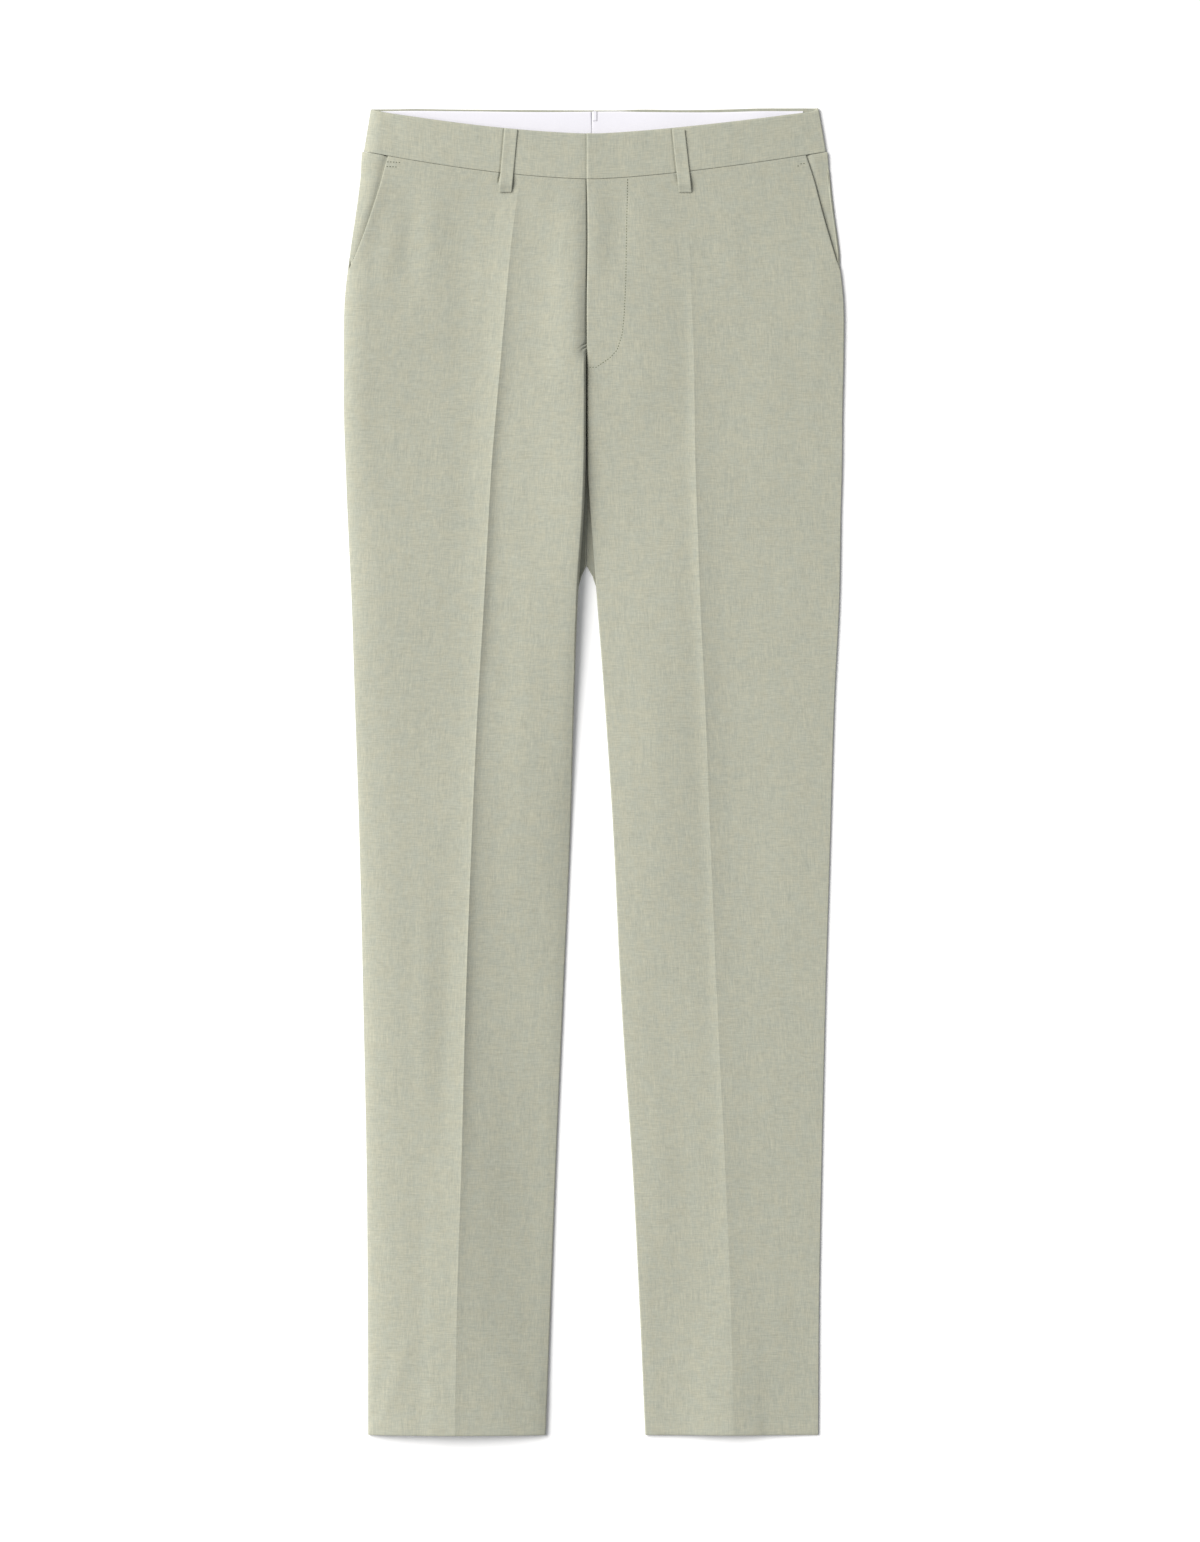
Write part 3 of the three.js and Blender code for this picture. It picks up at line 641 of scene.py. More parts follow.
def repeat(first, places, name, material):
    """One piece from copies of a small shape, one at each place, with the shape itself at the first."""
    made = [first]
    for _ in places[1:]:
        copy = first.copy()
        copy.data = first.data.copy()
        bpy.context.collection.objects.link(copy)
        made.append(copy)
    bpy.ops.object.select_all(action="DESELECT")
    for piece, place in zip(made, places):
        piece.matrix_world = place
        piece.select_set(True)
    bpy.context.view_layer.objects.active = first
    if len(made) > 1:
        bpy.ops.object.join()
    bpy.ops.object.transform_apply(location=True, rotation=True, scale=True)
    first.name = first.data.name = name
    first.data.materials.append(material)
    return first


def sewn_in(piece, slot, *nodes):
    """Makes a piece part of the garment, in the place of its CAD nodes."""
    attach(piece, "root")
    if nodes:
        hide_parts(*nodes)
    return piece


# ---- Finishes --------------------------------------------------------------------------------------------


class Nodes:
    """Adds nodes to a tree, wiring or setting each input by its name."""

    def __init__(self, tree):
        self.tree = tree

    def add(self, kind, inputs=None, **settings):
        made = self.tree.nodes.new(kind)
        for key, value in settings.items():
            setattr(made, key, value)
        for key, value in (inputs or {}).items():
            if isinstance(value, bpy.types.NodeSocket):
                self.tree.links.new(value, made.inputs[key])
            else:
                made.inputs[key].default_value = value
        return made

    def math(self, operation, *values):
        return self.add("ShaderNodeMath", dict(enumerate(values)), operation=operation).outputs[0]

    def combine(self, x, y, z=0.0):
        return self.add("ShaderNodeCombineXYZ", {"X": x, "Y": y, "Z": z}).outputs[0]

    def noise(self, vector, detail=2.0, roughness=0.5, scale=1.0):
        made = self.add(
            "ShaderNodeTexNoise",
            {"Vector": vector, "Scale": scale, "Detail": detail, "Roughness": roughness},
            noise_dimensions="3D",
        )
        return made.outputs["Fac"]

    def mix(self, share, a, b):
        return self.add("ShaderNodeMix", {0: share, 2: a, 3: b}, data_type="FLOAT").outputs[0]

    def mix_color(self, share, a, b, blend="MIX"):
        made = self.add("ShaderNodeMix", {0: share, 6: a, 7: b}, data_type="RGBA", blend_type=blend)
        return made.outputs[2]

    def grey(self, value):
        return self.add("ShaderNodeCombineColor", {0: value, 1: value, 2: value}).outputs[0]

    def scaled(self, vector, factor):
        return self.add("ShaderNodeVectorMath", {0: vector, "Scale": factor}, operation="SCALE").outputs[0]

    def range(self, value, low, high, to_low=0.0, to_high=1.0, smooth=True):
        made = self.add(
            "ShaderNodeMapRange",
            {"Value": value, "From Min": low, "From Max": high, "To Min": to_low, "To Max": to_high},
            interpolation_type="SMOOTHSTEP" if smooth else "LINEAR",
        )
        return made.outputs[0]


def slubby_weave():
    """Plain weave of uneven yarns: streaks along warp and weft in patches, and single threads close up."""
    name = "slubby_weave"
    if name in bpy.data.node_groups:
        return bpy.data.node_groups[name]
    tree = bpy.data.node_groups.new(name, "ShaderNodeTree")
    tree.interface.new_socket("Cut", in_out="INPUT", socket_type="NodeSocketVector")
    for label in ("Slub Width", "Slub Length", "Slub", "Cloud", "Thread"):
        tree.interface.new_socket(label, in_out="INPUT", socket_type="NodeSocketFloat")
    for label in ("Shade", "Tint", "Height"):
        tree.interface.new_socket(label, in_out="OUTPUT", socket_type="NodeSocketFloat")
    nodes = Nodes(tree)
    given = nodes.add("NodeGroupInput").outputs
    place = nodes.add("ShaderNodeSeparateXYZ", {"Vector": given["Cut"]}).outputs
    across, along = place["X"], place["Y"]

    def streaks(width, reach, offset, detail):
        """Noise drawn out along the warp, and other noise drawn out along the weft."""
        warp = nodes.combine(nodes.math("DIVIDE", across, width), nodes.math("DIVIDE", along, reach), offset)
        offset += 7.3
        weft = nodes.combine(nodes.math("DIVIDE", across, reach), nodes.math("DIVIDE", along, width), offset)
        return nodes.noise(warp, detail), nodes.noise(weft, detail)

    def scaled(width, reach, offset, detail):
        wide = nodes.math("MULTIPLY", given["Slub Width"], width)
        long = nodes.math("MULTIPLY", given["Slub Length"], reach)
        return streaks(wide, long, offset, detail)

    warp, weft = scaled(1.0, 1.0, 1.7, 1.5)
    fine_warp, fine_weft = scaled(0.55, 0.4, 4.1, 1.0)
    broad_warp, _ = scaled(2.8, 2.6, 6.4, 1.0)
    patches = nodes.range(nodes.noise(nodes.scaled(given["Cut"], 38.0), 2.0), 0.40, 0.60, 0.15, 0.75)
    slub = nodes.mix(patches, warp, weft)
    fine = nodes.mix(0.5, fine_warp, fine_weft)
    from_slub, from_fine = nodes.math("SUBTRACT", slub, 0.5), nodes.math("SUBTRACT", fine, 0.5)
    uneven = nodes.math("MULTIPLY_ADD", from_fine, 1.7, from_slub)
    uneven = nodes.math("MULTIPLY_ADD", nodes.math("SUBTRACT", broad_warp, 0.5), 0.12, uneven)
    yarns = nodes.math("MULTIPLY_ADD", uneven, given["Slub"], 1.0)
    cloud = nodes.math("SUBTRACT", nodes.noise(nodes.scaled(given["Cut"], 15.0), 3.0), 0.5)
    shade = nodes.math("MULTIPLY_ADD", cloud, given["Cloud"], yarns)

    broken = nodes.noise(nodes.scaled(given["Cut"], 90.0), 3.0)
    tint = nodes.mix(0.6, broken, nodes.mix(0.5, fine_weft, warp))

    thread_length = nodes.math("MULTIPLY", given["Thread"], 7.0)
    thread_warp, thread_weft = streaks(given["Thread"], thread_length, 9.2, 0.0)
    height = nodes.math("MAXIMUM", thread_warp, thread_weft)
    height = nodes.math("MULTIPLY_ADD", slub, 0.6, height)
    out = nodes.add("NodeGroupOutput")
    tree.links.new(shade, out.inputs["Shade"])
    tree.links.new(nodes.range(tint, 0.38, 0.62), out.inputs["Tint"])
    tree.links.new(height, out.inputs["Height"])
    return tree


def new_material(name, roughness, specular=0.5, sheen=0.0):
    """A material whose even values are set on its own shader."""
    material = bpy.data.materials.new(name)
    material.use_nodes = True
    shader = material.node_tree.nodes["Principled BSDF"]
    shader.inputs["Roughness"].default_value = roughness
    shader.inputs["Specular IOR Level"].default_value = specular
    shader.inputs["Sheen Weight"].default_value = sheen
    shader.inputs["Sheen Roughness"].default_value = 0.5
    return material, shader, Nodes(material.node_tree)


def woven(name, base, cool, warm, weave, roughness, sheen, relief):
    """Cloth whose colour, roughness and relief come from the weave, laid on the flat cut. weave holds the
    weave's own inputs."""
    material, shader, nodes = new_material(name, roughness, 0.25, sheen)
    cut = nodes.add("ShaderNodeUVMap", uv_map="cut").outputs["UV"]
    woven_out = nodes.add("ShaderNodeGroup", {"Cut": cut, **weave}, node_tree=slubby_weave()).outputs
    tree = material.node_tree
    yarn = nodes.mix_color(woven_out["Tint"], (*cool, 1), (*warm, 1))
    dyed = nodes.mix_color(0.45, yarn, (*base, 1))
    shaded = nodes.mix_color(1.0, dyed, nodes.grey(woven_out["Shade"]), "MULTIPLY")
    tree.links.new(shaded, shader.inputs["Base Color"])
    raised = {"Strength": relief, "Distance": 0.00025, "Height": woven_out["Height"]}
    bump = nodes.add("ShaderNodeBump", raised)
    tree.links.new(bump.outputs["Normal"], shader.inputs["Normal"])
    rough = nodes.range(woven_out["Shade"], 0.9, 1.1, roughness + 0.04, roughness - 0.04, smooth=False)
    tree.links.new(rough, shader.inputs["Roughness"])
    return material


def weave_of(width, reach, slub, cloud, thread):
    """The inputs of a weave, whose slubs are reach long."""
    return {"Slub Width": width, "Slub Length": reach, "Slub": slub, "Cloud": cloud, "Thread": thread}


def suiting(finish):
    weave = weave_of(finish.slub_width, finish.slub_length, finish.slub, finish.cloud, thread=0.00045)
    return bpy.data.materials.get("suiting_weave") or woven(
        "suiting_weave", finish.suiting, finish.suiting_cool, finish.suiting_warm, weave,
        roughness=0.9, sheen=0.1, relief=0.3,
    )  # fmt: skip


def plain_weave(name, shade, darker, weave, roughness, sheen, relief):
    """Cloth of one colour, whose yarns vary between it and darker times it."""
    cool = [darker * c for c in shade]
    return bpy.data.materials.get(name) or woven(name, shade, cool, shade, weave, roughness, sheen, relief)


def waist_lining(finish):
    weave = weave_of(0.0006, 0.01, slub=0.03, cloud=0.03, thread=0.0003)
    return plain_weave("waist_lining_weave", finish.lining, 0.99, weave, 0.75, sheen=0.1, relief=0.15)


def pocketing(finish):
    weave = weave_of(0.0008, 0.01, slub=0.08, cloud=0.04, thread=0.0004)
    return plain_weave("pocketing_weave", finish.pocketing, 0.95, weave, 0.88, sheen=0.1, relief=0.3)


def zip_tape(finish):
    weave = weave_of(0.0012, 0.004, slub=0.1, cloud=0.02, thread=0.0006)
    return plain_weave("zip_tape_weave", finish.tape, 0.9, weave, 0.8, sheen=0.05, relief=0.5)


def stitching(finish):
    """Thread whose colour is painted shade, as dark as the shade where it sinks into the cloth: darker still
    towards the top of the fly, as painted deeper shade.
    """
    made = bpy.data.materials.get("stitching_thread")
    if made:
        return made
    material, shader, nodes = new_material("stitching_thread", 0.7, 0.3, 0.1)
    place = nodes.add("ShaderNodeTexCoord").outputs["Object"]
    height = nodes.add("ShaderNodeSeparateXYZ", {"Vector": place}).outputs["Y"]
    shade_at_top = nodes.range(height, 0.488, 0.512)
    twist = nodes.range(nodes.noise(nodes.scaled(place, 2600.0), 1.0), 0.35, 0.65, 0.85, 1.1)
    # Painted shade: a lighter copy of the thread low on the fly turns to a darker copy at its top and at the
    # pocket tacks.
    dark, light = [0.75 * c for c in finish.stitching], [1.25 * c for c in finish.stitching]
    shade = nodes.mix_color(shade_at_top, (*light, 1), (*dark, 1))
    tree = material.node_tree
    tree.links.new(nodes.mix_color(1.0, shade, nodes.grey(twist), "MULTIPLY"), shader.inputs["Base Color"])
    return material


def hook_metal(finish):
    """Nickel-plated steel, brushed."""
    made = bpy.data.materials.get("brushed_nickel")
    if made:
        return made
    material, shader, nodes = new_material("brushed_nickel", 0.32, 0.5)
    shader.inputs["Metallic"].default_value = 1.0
    place = nodes.add("ShaderNodeTexCoord").outputs["Object"]
    stretch = (9000.0, 300.0, 300.0)
    brushed = nodes.add("ShaderNodeVectorMath", {0: place, 1: stretch}, operation="MULTIPLY").outputs[0]
    grain = nodes.noise(brushed, 2.0)
    tree = material.node_tree
    tree.links.new(nodes.range(grain, 0.3, 0.7, 0.25, 0.42), shader.inputs["Roughness"])
    dull = [0.85 * c for c in finish.metal]
    shade = nodes.mix_color(nodes.range(grain, 0.3, 0.7), (*dull, 1), (*finish.metal, 1))
    tree.links.new(shade, shader.inputs["Base Color"])
    return material


# ---- The pieces ------------------------------------------------------------------------------------------


def front_rows():
    """Rows of a front from the hem up, close together at the hem, the crotch, the fly's end and the seams."""
    return np.concatenate(
        [
            HEM + np.array([0, 0.3, 0.8, 1.5, 2.5, 4, 7]),
            np.arange(HEM + 12, 235, 6.0),
            np.arange(236, 380, 3.0),
            np.arange(381, 432, 4.0),
            np.arange(MOUTH_FOOT - 3, 447, 1.5),
            np.arange(448, 536, 3.5),
            TOP_ROW - np.array([2.8, 1.8, 1.1, 0.6, 0.25, 0]),
        ]
    )[:, None]


def front_columns(side, row):
    limit, edge = front_limit(side, row), base_edge(side, row)
    reach = np.maximum(side.shape.at("reach", row) - np.abs(edge - limit), 3)
    outer = limit - side.sign * reach * (1 - np.cos(np.linspace(0, math.pi / 2, 17)))
    steps = np.array([0.25, 0.6, 1.1, 1.8, 2.8, 4.2, 6, 8.5, 12])
    by_loop = np.arange(20, 13, -0.5)
    pressed = crease_line(side, row) + side.sign * np.concatenate([by_loop, steps[::-1], [0], -steps])
    distances = np.array(
        [36, 32, 28.5, 25.5, 23, 21, 19.3, 17.8, 16.4, 15.2, 14.2, 13.4, 12.8, 12.3, 11.8, 11.3, 10.8,
         10.3, 9.8, 9.3, 8.8, 8.2, 7.6, 7, 6.4, 5.8, 5.2, 4.6, 4, 3.4, 2.8, 2, 1.4, 0.9, 0.6, 0.35, 0.15, 0]
    )  # fmt: skip
    inner = inner_edge(side, row) + side.sign * distances
    return stack_columns(
        outer,
        between(outer[:, -1:], pressed[:, :1], 18),
        pressed,
        between(pressed[:, -1:], inner[:, :1], 8),
        inner,
    )


def front_cut(side, x, row):
    """Where a front's points lie in the flat cloth: the crease runs straight down the warp."""
    return grid(x - crease_line(side, row) + side.sign * ON_CLOTH["front"], row)


class SewFronts(Operator):
    """Cut the two front panels, fold in their creases and lay the left one over the right at the fly"""

    bl_idname = "trousers.sew_fronts"
    bl_label = "Fronts"

    def execute(self, context):
        sizes, finish = context.scene.trouser_sizes, context.scene.trouser_finish
        for side in (RIGHT, LEFT):
            row = front_rows()
            x = front_columns(side, row)
            points = front_point(side, x, row)
            cut = front_cut(side, x, row)
            piece = add_sheet(side.name + "_front", points, cut, suiting(finish), sizes.cloth, sizes.edge)
            sewn_in(piece, "suiting", "front_" + side.name)
        return {"FINISHED"}


def back_inner(side, row):
    seat = CENTER * (1 - ease(row, CROTCH, SEAM_SIDE)) + side.sign * GAP / 2
    inner = SECTIONS.at(side.name + "_inner", row)
    return np.where(row > CROTCH, seat, inner + (seat - inner) * ease(row, 165, 181))


def back_lift(side, x, row):
    """Height of the back over the belt loops, which dies away where the left side is pressed flat."""
    return BACK_LIFT * ease(row, *LIFT_ROWS) * (1 - ease(x, FLAT_FROM, FLAT_TO) * (side.sign > 0))


def back_point(side, x, row):
    """The underside of a back: flat on the surface and rolled up to the seams at its edges."""
    low, high = back_lift(side, x, row), seam_height(side, row) - GAP
    outer = 1 - roll(np.abs(outer_edge(side, row) - x), BACK_ROLL)
    from_seat = np.abs(x - back_inner(side, row))
    inner = (1 - roll(from_seat, BACK_ROLL)) * (1 - ease(row, CROTCH, 290))
    seat = 0.5 * (1 - roll(from_seat, 1.6)) * ease(row, 290, 300)
    hem = 0.4 * (1 - roll(row - HEM, 1.8)) + 0.5 * (1 - roll(TOP_ROW - row, 1.8))
    z = low + (high - low) * np.maximum(outer, inner) + np.maximum(seat, hem)
    return grid(x, row, z)


class SewBacks(Operator):
    """Cut the two back panels, flat on the surface and rolled up to the seams"""

    bl_idname = "trousers.sew_backs"
    bl_label = "Backs"

    def execute(self, context):
        sizes, finish = context.scene.trouser_sizes, context.scene.trouser_finish
        row = np.concatenate(
            [
                HEM + np.array([0, 0.4, 1.0, 1.8, 4]),
                np.arange(HEM + 10, 255, 9.0),
                np.arange(258, 300, 3.0),
                np.arange(304, 536, 6.0),
                TOP_ROW - np.array([1.8, 1.0, 0.4, 0]),
            ]
        )[:, None]
        for side in (RIGHT, LEFT):
            start, end = back_inner(side, row), outer_edge(side, row)
            near = side.sign * roll_stations(BACK_ROLL, 9)
            middle = between(start + near[-1], end - near[-1], 30)
            x = stack_columns(start + near, middle, (end - near)[:, ::-1])
            points = back_point(side, x, row)
            cut = grid(x - crease_line(side, row) + side.sign * ON_CLOTH["back"], row)
            piece = add_sheet(
                side.name + "_back", points, cut, suiting(finish), sizes.cloth, sizes.edge, faces_down=True
            )
            sewn_in(piece, "suiting", "back_" + side.name)
        return {"FINISHED"}


def band_line(side):
    """Stations of a waistband along the front, from its end at the centre to where it starts to roll."""
    if side.underlap:
        centre = [RIGHT_LAP_END, 21, 12, 3, -3, -5, -6, -6.6, -7.1, -7.6, -8.2, -8.8, -9.5]
        centre += [-10.3, -11.5, -14, -17, -20.5]
    else:
        centre = [-6.85, -6.7, -6.4, -6, -5.5, -4.8, -3.8, -2, 1, 5, 10, 15]
    plain = [side.sign * d for d in np.arange(abs(centre[-1]) + 4, 166, 3.5)]
    head, foot = LOOPS["belt_loop_front_" + side.name]
    start, end = foot - LOOP_WIDTH / 2, head - LOOP_WIDTH / 2
    groove = np.arange(min(start, end) - 2.5, max(start, end) + 2.5, 0.6)
    line = centre + [x for x in plain if not groove[0] - 1 < x < groove[-1] + 1] + list(groove)
    return sorted(line, reverse=side.sign < 0)


def band_points(side):
    """The outer face of a waistband, as points and where each lies in the flat cloth."""
    shares = [0, 0.008, 0.02, 0.04, 0.08, 0.2, 0.35, 0.5, 0.65, 0.8, 0.92, 0.96, 0.982, 0.994, 1]
    share = np.array(shares)[:, None]
    low = SEAM_SIDE + (BAND_TOP_SIDE - SEAM_SIDE) * share
    edge, seam = outer_edge(side, low), seam_height(side, low)
    columns = []

    def add(x, z, y_low, y_high, facing):
        """One column from the seam up, which turns in at both ends, away from where it is facing."""
        y = y_low + (y_high - y_low) * share
        turned = 0.15 * (1 - roll(y - y_low, 0.5)) + 0.8 * (1 - roll(y_high - y, 1.6))
        x, y, z = np.broadcast_arrays(x, y, z)
        turned = turned * (1 - 0.8 * max(-facing[1], 0))
        columns.append(grid(x - turned * facing[0], y, z - turned * facing[1]))

    def top_face(x):
        return surface_height(side, np.broadcast_to(x, low.shape) + 0.0, low, BAND_DROP)

    for x in band_line(side):
        end = 0.0 if side.underlap else 1.0 * (1 - roll(abs(x + 6.85), 2.0))
        add(x, top_face(x) - end, waist_seam(side, x) + GAP / 2, band_top(side, x), (0, 1))
    reach = side.shape.at("reach", low) + 8
    side_top, front_top = BACK_EDGE.at("top", edge), band_top(side, edge)
    for turn in np.linspace(1, 0, 25):
        x = edge - side.sign * reach * (1 - math.cos(turn * math.pi / 2))
        facing = (side.sign * math.cos(turn * math.pi / 2), math.sin(turn * math.pi / 2))
        z = surface_height(side, x + side.sign * FACING_DEPTH, low, BAND_DROP)
        y_high = band_top(side, x) + (side_top - front_top) * (1 - turn) ** 2
        add(x, z, waist_seam(side, x) + GAP / 2, y_high, facing)
    side_seam = waist_seam(side, edge) + GAP / 2
    for turn in np.linspace(0, 1, 9)[1:]:
        x = edge - side.sign * BACK_ROLL * (1 - math.cos(turn * math.pi / 2))
        base = back_lift(side, x, low)
        z = base + (seam - base) * (1 - math.sin(turn * math.pi / 2))
        facing = (side.sign * math.cos(turn * math.pi / 2), -math.sin(turn * math.pi / 2))
        add(x, z, side_seam, side_top, facing)
    for distance in np.linspace(185, GAP / 2, 30):
        flat = ease(-distance, -185, -150)
        y_low = side_seam + (SEAM_SIDE + GAP / 2 - side_seam) * flat
        x = side.sign * distance
        y_high = side_top + (BACK_EDGE.at("top", x) - side_top) * flat
        add(x, back_lift(side, x, low) + 0.5 * ease(share, 0.9, 1), y_low, y_high, (0, -1))
    points = np.concatenate(columns, axis=1)
    run = np.concatenate([[0], np.cumsum(np.linalg.norm(np.diff(points[7], axis=0), axis=1))])
    cut = grid(run + ON_CLOTH["band"] * side.sign, low)
    return points, cut


class SewWaistband(Operator):
    """Fold the two halves of the waistband from the fly round the sides to the centre back"""

    bl_idname = "trousers.sew_waistband"
    bl_label = "Waistband"

    def execute(self, context):
        sizes, finish = context.scene.trouser_sizes, context.scene.trouser_finish
        for side in (RIGHT, LEFT):
            points, cut = band_points(side)
            edge = 0.5 * sizes.edge
            piece = add_sheet(side.name + "_waistband", points, cut, suiting(finish), sizes.band, edge)
            sewn_in(piece, "suiting", "waistband_" + side.name)
        return {"FINISHED"}


class SewWaistLining(Operator):
    """Line the back waistband, with a centre seam and a small tab"""

    bl_idname = "trousers.sew_waist_lining"
    bl_label = "Waist lining"

    def execute(self, context):
        sizes, finish = context.scene.trouser_sizes, context.scene.trouser_finish
        face = BACK_LIFT + 1.6 + GAP + 1.0
        for side in (RIGHT, LEFT):
            distance = np.concatenate([[GAP / 2, 0.5, 0.9, 1.4, 2.2], np.linspace(5, 184, 40)])
            x = SEAT_SEAM + side.sign * distance[None, :]
            share = np.array([0, 0.05, 0.2, 0.4, 0.6, 0.75, 0.85, 0.92, 0.965, 0.985, 1])[:, None]
            y = LINING_FOOT + (BACK_EDGE.at("top", x) - BACK_EDGE.at("margin", x) - LINING_FOOT) * share
            seam = (1 - roll(distance[None, :], 1.5)) * (0.35 + 1.2 * ease(y, 566.5, 568))
            head = 0.5 * (1 - roll((1 - share) * 34, 1.2))
            wave = 0.5 * np.sin((x - 20) / 19.0) * np.exp(-(((x - 66) / 46) ** 2))
            flat = 0.5 * ease(x, FLAT_FROM, FLAT_TO) + BACK_LIFT - back_lift(side, x, SEAM_SIDE)
            z = face - flat - seam - head + wave * share**0.5
            points = grid(x, y, z)
            cut = grid(x, y)
            piece = add_sheet(side.name + "_waist_lining", points, cut, waist_lining(finish), sizes.trim)
            sewn_in(piece, "waist_lining", "waist_lining_" + side.name)
        x = np.array([-1.7, -1.6, -1.3, -0.8, 0, 0.8, 1.3, 1.7, 2.0, 2.1])[None, :]
        y = np.array([567.4, 567.55, 567.9, 569, 571, 573.5, 575.2, 575.7])[:, None]
        turned = 0.3 * (1 - roll(np.minimum(x + 1.7, 2.1 - x), 0.9)) + 0.2 * (1 - roll(y - 567.4, 0.9))
        points = grid(x, y, face + 0.5 * sizes.trim / MM + 0.2 - turned)
        cut = grid(x + ON_CLOTH["tab"], y)
        tab = add_sheet("waist_lining_tab", points, cut, waist_lining(finish), 0.5 * sizes.trim)
        sewn_in(tab, "waist_lining")
        return {"FINISHED"}


def facing_inner(side, row):
    return front_limit(side, np.maximum(row, MOUTH_FOOT)) - side.sign * FACING_UNDER


# The turn of a pocket bag at its inner edge: run past the edge, and depth.
BAG_FOLD = ((0.8, 0.3), (1.1, 0.95), (0.8, 1.6))


class SewPockets(Operator):
    """Set in the facings that show in the slanted pockets, and the bags behind them"""

    bl_idname = "trousers.sew_pockets"
    bl_label = "Pockets"

    def execute(self, context):
        sizes, finish = context.scene.trouser_sizes, context.scene.trouser_finish
        for side in (RIGHT, LEFT):
            self.add_facing(side, sizes, finish)
            self.add_bag(side, sizes, finish)
        return {"FINISHED"}

    def add_facing(self, side, sizes, finish):
        head = TOP_ROW - np.array([2.0, 1.0, 0.4, 0])
        row = np.concatenate([np.arange(MOUTH_FOOT, 452, 2.0), np.arange(454, 536, 3.5), head])[:, None]
        edge, mouth, end = base_edge(side, row), front_limit(side, row), facing_inner(side, row)
        shown = np.maximum(np.abs(edge - mouth), 6)
        near = edge - side.sign * shown * (1 - np.cos(np.linspace(0, math.pi / 2, 14)))
        x = stack_columns(near, between(near[:, -1:], end, 10), end)
        tuck = 0.5 * (1 - ease(row, MOUTH_FOOT, MOUTH_FOOT + 20))
        gape = MOUTHS.at(side.name + "_gape", row)
        open_by = gape * np.exp(-(((x - mouth) / np.where(side.sign * (x - mouth) > 0, 4.5, 9)) ** 2))
        shallow = 1.3 * ease(row, 516, 537) * ease(side.sign * (x - mouth), 0.5, 5)
        points = sink(side, x, row, FACING_DEPTH + tuck + open_by - shallow)
        points[..., 2] = np.maximum(points[..., 2], sizes.trim / MM + GAP)
        cut = grid(x - outer_edge(side, row) + side.sign * ON_CLOTH["facing"], row)
        piece = add_sheet(side.name + "_pocket_facing", points, cut, suiting(finish), sizes.trim)
        sewn_in(piece, "suiting", "pocket_facing_" + side.name)

    def add_bag(self, wearer_side, sizes, finish):
        side = wearer_side._replace(pressed=0.0)
        trim = sizes.trim / MM
        by_mouth = np.arange(MOUTH_FOOT, SEAM_SIDE - 1, 8.0)
        row = np.concatenate([np.arange(BAG_FOOT, MOUTH_FOOT, 10.0), by_mouth])[:, None]
        start = facing_inner(side, row) - 2 * side.sign * GAP
        end = outer_edge(side, row) - side.sign * BAG_REACH
        flat = start + (end - start) * np.linspace(0, 1, 16)
        turn = [end - side.sign * run for run, _ in BAG_FOLD]
        x = np.concatenate([flat, *turn, flat[:, ::-1]], axis=1)
        depth = np.array([0.0] * 16 + [d for _, d in BAG_FOLD] + [2 * trim + GAP] * 16) + 1.2
        points = sink(side, x, row, depth + 0 * x)
        run = np.concatenate([[0], np.cumsum(np.abs(np.diff(x[0])))])
        cut = grid(run, row)
        piece = add_sheet(side.name + "_pocket_bag", points, cut, pocketing(finish), sizes.trim)
        sewn_in(piece, "pocketing", "pocket_bag_" + side.name)


def fly_level(row):
    """The lowest that the left front lies over the zip."""
    return np.minimum.reduce([lying_height(LEFT, x, row) for x in (-6.0, 12.0, 28.0)])


class SewFly(Operator):
    """Lay the shield and the zip under the fly, and finish the hook and bar"""

    bl_idname = "trousers.sew_fly"
    bl_label = "Fly"

    def execute(self, context):
        sizes, finish = context.scene.trouser_sizes, context.scene.trouser_finish
        zip_depth = 1.2 + GAP
        shield, shield_area = self.add_strip(
            "fly_shield_cloth", SHIELD_SPAN, FLY_BOTTOM, HIDDEN_DROP + zip_depth, suiting(finish), sizes
        )
        sewn_in(shield, "suiting", "fly_shield")
        teeth = self.add_teeth(finish)
        tape, tape_area = self.add_strip(
            "fly_zip_tape", ZIP_SPAN, ZIP_FOOT, zip_depth, zip_tape(finish), sizes
        )
        sewn_in(tape, "zip_tape", "fly_zip")
        for node in ("waist_hook", "waist_bar"):
            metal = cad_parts[node]
            metal.data.materials.clear()
            metal.data.materials.append(hook_metal(finish))
        return {"FINISHED"}

    def add_strip(self, name, span, foot, depth, material, sizes):
        """A strip under the fly, level across and depth below the lowest of the front, with its area."""
        start, end = span
        row = np.linspace(foot, SEAM_SIDE - 3, 40)[:, None]
        x = np.linspace(start, end, 13)[None, :]
        y = front_point(LEFT, np.maximum(x, CENTER), row)[..., 1]
        z = fly_level(row) - depth - 0.15 * (1 - roll(np.minimum(x - start, end - x), 2.0))
        points = grid(x, y, z)
        cut = grid(x + ON_CLOTH["fly"], row)
        return add_sheet(name, points, cut, material, sizes.trim), sheet_area(points)

    def add_teeth(self, finish):
        """The zip's teeth, which close over the middle of its tape."""
        bpy.ops.object.select_all(action="DESELECT")
        bpy.ops.mesh.primitive_cube_add(size=1)
        tooth = shrink_to([size * MM for size in TOOTH_SIZE])
        apply_modifier(tooth, "BEVEL", width=0.0003, segments=1)
        x, places = sum(ZIP_SPAN) / 2, []
        for y in np.arange(*ZIP_TEETH, TOOTH_PITCH):
            z = float(fly_level(np.float64(y))) - 1.9
            places.append(Matrix.Translation((x * MM, y * MM, z * MM)))
        teeth = repeat(tooth, places, "fly_zip_teeth", hook_metal(finish))
        return sewn_in(teeth, "hook_metal")


